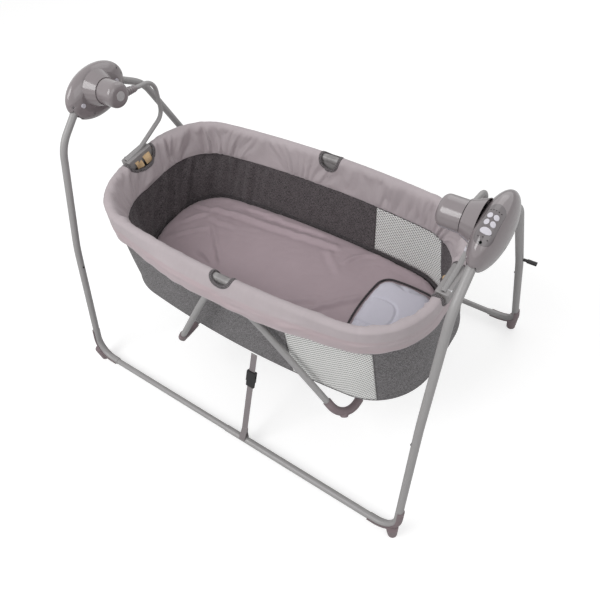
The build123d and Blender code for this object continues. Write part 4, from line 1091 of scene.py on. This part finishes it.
def mattress_lift(x, y):
    """The creases and the slow swells of the mattress top."""
    lift = 2.2 * sum(crease(x, y, *c) for c in MATTRESS_CREASES)
    left = ease(120.0, 400.0, -x)
    lift += 1.5 * wobble(x, y, 90.0, 70.0, 51.0) + (0.5 + 1.3 * left) * wobble(x, y, 26.0, 34.0, 52.0)
    return lift + 1.4 * folds(x + 0.5 * y, y - 0.4 * x, 70.0, 24.0, 57.0)


def settle(made):
    """Puts the object's modifiers into its mesh."""
    graph = bpy.context.evaluated_depsgraph_get()
    mesh = bpy.data.meshes.new_from_object(made.evaluated_get(graph), depsgraph=graph)
    old = made.data
    made.modifiers.clear()
    made.data = mesh
    bpy.data.meshes.remove(old)


def blow_up(made, cap):
    """Swells a pad as cloth under pressure, no point moving more than cap."""
    rest = [v.co.copy() for v in made.data.vertices]
    cloth = made.modifiers.new("cloth", "CLOTH")
    cloth.settings.use_pressure = True
    cloth.settings.uniform_pressure_force = PRESSURE
    cloth.settings.effector_weights.gravity = 0.0
    cloth.point_cache.frame_start = 1
    cloth.point_cache.frame_end = CLOTH_FRAMES
    for number in range(1, CLOTH_FRAMES + 1):
        scene.frame_set(number)
    settle(made)
    scene.frame_set(1)
    for vertex, start in zip(made.data.vertices, rest):
        move = vertex.co - start
        if move.length > cap * MM:
            vertex.co = start + move.normalized() * cap * MM


def make_pad(name, slot, half, levels, shares, centre_x, inset, low, tall, voxel, cap):
    """A closed pad through a stack of ovals, inset on all sides and then swollen a little."""
    build = Build()
    rows = []
    for c, a, b in levels:
        oval = Oval(half[0] * a - inset, half[1] * b - inset, shares)
        rows.append(oval.around(PAD_SIDES, low + tall * c, centre_x))
    build.grid(rows, closed=True)
    build.cap_ends(len(rows), PAD_SIDES)
    made = build.piece(name, slot)
    remesh = made.modifiers.new("remesh", "REMESH")
    remesh.mode = "VOXEL"
    remesh.voxel_size = voxel * MM
    settle(made)
    blow_up(made, cap)
    finer = made.modifiers.new("finer", "SUBSURF")
    finer.levels = finer.render_levels = 1
    settle(made)
    return made


def mattress_limit(z):
    """The lining's inner face, which the mattress fills."""
    lining = lining_oval(max(z, LINING_RINGS[0][0]))
    return Oval(lining.half_length - MATTRESS_GAP, lining.half_width - MATTRESS_GAP, LINING_SHARES)


def make_mattress():
    made = make_pad(
        "mattress_pad", "mattress_fabric", MATTRESS, MATTRESS_LEVELS, LINING_SHARES, centre_x=0.0, inset=3.0,
        low=MATTRESS_LOW + 1.5, tall=MATTRESS_HIGH - MATTRESS_LOW - 5.0, voxel=6.0, cap=5.0)
    limits = {}
    for vertex in made.data.vertices:
        x, y, z = vertex.co / MM
        top = ease(MATTRESS_HIGH - 16.0, MATTRESS_HIGH - 5.0, z)
        level = round(max(z, MATTRESS_LOW))
        if level not in limits:
            limits[level] = mattress_limit(level)
        limit = limits[level]
        run, out = limit.locate(x, y)
        near = ease(-45.0, -4.0, out)
        spot, direction = limit.at(run)
        shift = direction * -out * 0.9 * ease(-24.0, -8.0, out)
        x, y = x + shift.x, y + shift.y
        if top:
            z += top * mattress_lift(x, y) * (1 - 0.8 * near)
            z += top * near * MATTRESS_CURL
        if out > 0.0:
            x, y = spot.x, spot.y
        z = min(max(z, MATTRESS_LOW), MATTRESS_HIGH + MATTRESS_CURL)
        vertex.co = Vector((x, y, z)) * MM
    return dress(made, "mattress_fabric")


def make_mattress_piping():
    high = MATTRESS_HIGH + MATTRESS_CURL
    lining = mattress_limit(high)
    inset = 1.2
    line = Oval(lining.half_length - inset, lining.half_width - inset, LINING_SHARES).around(
        PIPING_POINTS, high - 7.5)
    for point in line:
        point.z += 1.2 * wobble(point.x, point.y, 60.0, 60.0, 61.0)
    build = Build()
    build.tube(line, 2.0, closed=True)
    build.piece("mattress_piping", "lining_fabric", "piping")


def line_distance(x, y, line):
    """How far (x, y) is from an open line."""
    far = []
    for (x0, y0), (x1, y1) in zip(line, line[1:]):
        run_x, run_y = x1 - x0, y1 - y0
        share = ((x - x0) * run_x + (y - y0) * run_y) / (run_x**2 + run_y**2)
        share = min(1.0, max(0.0, share))
        far.append(math.hypot(x - x0 - run_x * share, y - y0 - run_y * share))
    return min(far)


def smooth_line(points, rounds=3):
    """Corner cutting, which rounds an open line."""
    for _ in range(rounds):
        cut = [points[0]]
        for (x0, y0), (x1, y1) in zip(points, points[1:]):
            for share in (0.25, 0.75):
                cut.append(((1 - share) * x0 + share * x1, (1 - share) * y0 + share * y1))
        points = cut + [points[-1]]
    return points


def make_pillow():
    half_length, half_width = PILLOW
    tall = PILLOW_HIGH - PILLOW_LOW
    made = make_pad(
        "head_pillow", "pillow_fabric", PILLOW, PILLOW_LEVELS, PILLOW_SHARES, PILLOW_X, inset=4.0,
        low=PILLOW_LOW + 1.0, tall=tall - 3.0, voxel=4.0, cap=4.0)
    limit = Oval(half_length - 2.0, half_width - 2.0, PILLOW_SHARES)
    seam = smooth_line(PILLOW_SEAM)
    for vertex in made.data.vertices:
        x, y, z = vertex.co / MM
        run, out = limit.locate(x - PILLOW_X, y)
        if out > 0.0:
            spot, _ = limit.at(run)
            x, y = spot.x + PILLOW_X, spot.y
        if z > PILLOW_LOW + 0.55 * tall:
            z -= 3.4 * bump(line_distance(x, y, seam), 4.0)
            z += 0.8 * wobble(x, y, 40.0, 40.0, 71.0)
        z = min(max(z, PILLOW_LOW), PILLOW_HIGH + 2.0)
        vertex.co = Vector((x, y, z)) * MM
    dress(made, "pillow_fabric")
    outer = Build()
    oval = Oval(half_length, half_width, PILLOW_SHARES)
    outer.tube(oval.around(BINDING_POINTS, PILLOW_LOW + 5.0, PILLOW_X), 3.0, closed=True)
    outer.piece("pillow_piping", "lining_fabric", "piping")
    return made


# The restraint strap

TAIL = (34.0, 28.0, 22.0)
LOOP_END = 16.0
LOOP_STEPS = 32
LOOP_GAP = 8
RUN_STEPS = 14
UPPER_STEPS = 10
WEBBING_STEP = 3.0
WEBBING_EDGE = 0.5


def strap_lines():
    """The lower strap's tail comes down under the run, goes round the rail and becomes the run."""
    rail = Vector((STRAP_X, *RAIL))
    lower = [STRAP_START + STRAP_ALONG * distance - STRAP_OVER * 2 * WEBBING for distance in TAIL]
    start = math.degrees(math.atan2(-STRAP_OVER.z, -STRAP_OVER.y)) + LOOP_GAP
    stop = math.degrees(math.atan2(STRAP_OVER.z, STRAP_OVER.y)) - LOOP_GAP
    while stop < start:
        stop += 360
    for k in range(LOOP_STEPS + 1):
        turn = math.radians(start + (stop - start) * k / LOOP_STEPS)
        lower.append(rail + Vector((0, math.cos(turn), math.sin(turn))) * RAIL_LOOP)
    for k in range(1, RUN_STEPS + 1):
        distance = LOOP_END + (BUCKLE_FROM - LOOP_END) * k / RUN_STEPS
        lower.append(STRAP_START + STRAP_ALONG * distance)
    rest = (STRAP_END - STRAP_START).length - BUCKLE_TO
    upper = [
        STRAP_START + STRAP_ALONG * (BUCKLE_TO + rest * k / UPPER_STEPS) for k in range(UPPER_STEPS + 1)]
    return lower, upper


def ribbon(line):
    """Flat webbing along a line in the strap's plane, its width along X."""
    half, thick = WEBBING_WIDTH / 2, WEBBING / 2
    edge = half - WEBBING_EDGE
    shape = ((-half, 0.0), (-edge, -thick), (edge, -thick), (half, 0.0), (edge, thick), (-edge, thick))
    fine = [Vector(point) for point in divided(line, WEBBING_STEP)]
    build = Build()
    build.sweep(fine, shape, [x for x, _ in shape], side=Vector((1, 0, 0)))
    return build


def make_straps():
    lower_line, upper_line = strap_lines()
    low = ribbon(lower_line).piece("lower_strap_webbing", "webbing", body="front_frame", sharp=True)
    high = ribbon(upper_line).piece("upper_strap_webbing", "webbing", sharp=True)
    threads, patch = Build(), Build()
    for distance in (19.0, 31.0):
        start = STRAP_START + STRAP_ALONG * distance + STRAP_OVER * WEBBING / 2
        line = [start + Vector((x, 0, 0)) for x in range(-8, 9)]
        threads.stitches(line, [STRAP_OVER] * len(line), long=1.6, gap=0.9, radius=0.3, closed=False)
    threads.piece("lower_strap_stitches", "webbing", "thread", body="front_frame")
    top = STRAP_END - STRAP_ALONG + STRAP_OVER * 0.9
    patch.tube([top + Vector((x, 0, 0)) for x in (-9.0, 0.0, 9.0)], 0.6)
    patch.piece("upper_strap_tack", "webbing", "thread")
    return low, high


# Floor and light

FLOOR = 14.0
WHITE = (1, 1, 1, 1)
FLOOR_GREY = (0.62, 0.62, 0.62, 1)
FLOOR_GLOW = 0.55
STUDIO = 0.55
LAMPS_AIM = Vector((0, 0, 0.4))
LAMPS = (
    ("key", (-1.2, -2.4, 3.2), 2.2, 62.0), ("fill", (2.6, -0.6, 2.4), 2.4, 16.0),
    ("back", (0.2, 2.6, 2.6), 2.4, 16.0))


def make_floor():
    mesh = bpy.data.meshes.new("floor")
    corners = [(-FLOOR, -FLOOR, 0), (FLOOR, -FLOOR, 0), (FLOOR, FLOOR, 0), (-FLOOR, FLOOR, 0)]
    mesh.from_pydata(corners, [], [(0, 1, 2, 3)])
    floor = add_object("floor", mesh)
    material = bpy.data.materials.new("floor")
    nodes = Nodes(material)
    nodes.tree.nodes.clear()
    seen = nodes.node("LightPath").outputs["Is Camera Ray"]
    matt = nodes.node("BsdfDiffuse", {0: FLOOR_GREY})
    glow = nodes.node("Emission", {0: WHITE, 1: nodes.times(seen, FLOOR_GLOW)})
    both = nodes.node("AddShader", {0: matt.outputs[0], 1: glow.outputs[0]})
    nodes.node("OutputMaterial", {0: both.outputs[0]})
    mesh.materials.append(material)


def make_light():
    """A soft even studio that the camera, glass and metal see as white, and three lamps."""
    scene.world = bpy.data.worlds.new("studio")
    nodes = Nodes(scene.world)
    nodes.tree.nodes.clear()
    path = nodes.node("LightPath").outputs
    seen = nodes.reckon("MAXIMUM", path["Is Camera Ray"], path["Is Glossy Ray"])
    seen = nodes.reckon("MAXIMUM", seen, path["Is Transmission Ray"])
    soft = nodes.node("Background", {0: WHITE, 1: STUDIO})
    white = nodes.node("Background", {0: WHITE, 1: 1.0})
    mix = nodes.node("MixShader", {0: seen, 1: soft.outputs[0], 2: white.outputs[0]})
    nodes.node("OutputWorld", {0: mix.outputs[0]})
    for name, place, size, power in LAMPS:
        data = bpy.data.lights.new(name, "AREA")
        data.size = size
        data.energy = power
        lamp = add_object(name, data)
        lamp.location = place
        lamp.rotation_euler = (LAMPS_AIM - Vector(place)).to_track_quat("-Z", "Y").to_euler()
    scene.view_settings.view_transform = "Standard"


# Everything is made here. Flat sizes are in metres

make_camera()
make_floor()
make_light()
paint_nodes()

cover = make_cover()
cover_trim = [*make_bindings(), *make_cover_trim()]
foam = make_rim_foam()
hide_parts("rim_cover")

wall, wall_nets, wall_trim, bottom_panel, bottom_welt = make_wall()
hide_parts("outer_wall")
lining, lining_nets, lining_trim = make_lining()
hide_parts("inner_lining")
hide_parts("mesh_windows")

mattress = make_mattress()
make_mattress_piping()
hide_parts("mattress")
pillow = make_pillow()
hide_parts("pillow")

low_strap, high_strap = make_straps()
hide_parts("lower_strap")
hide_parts("upper_strap")
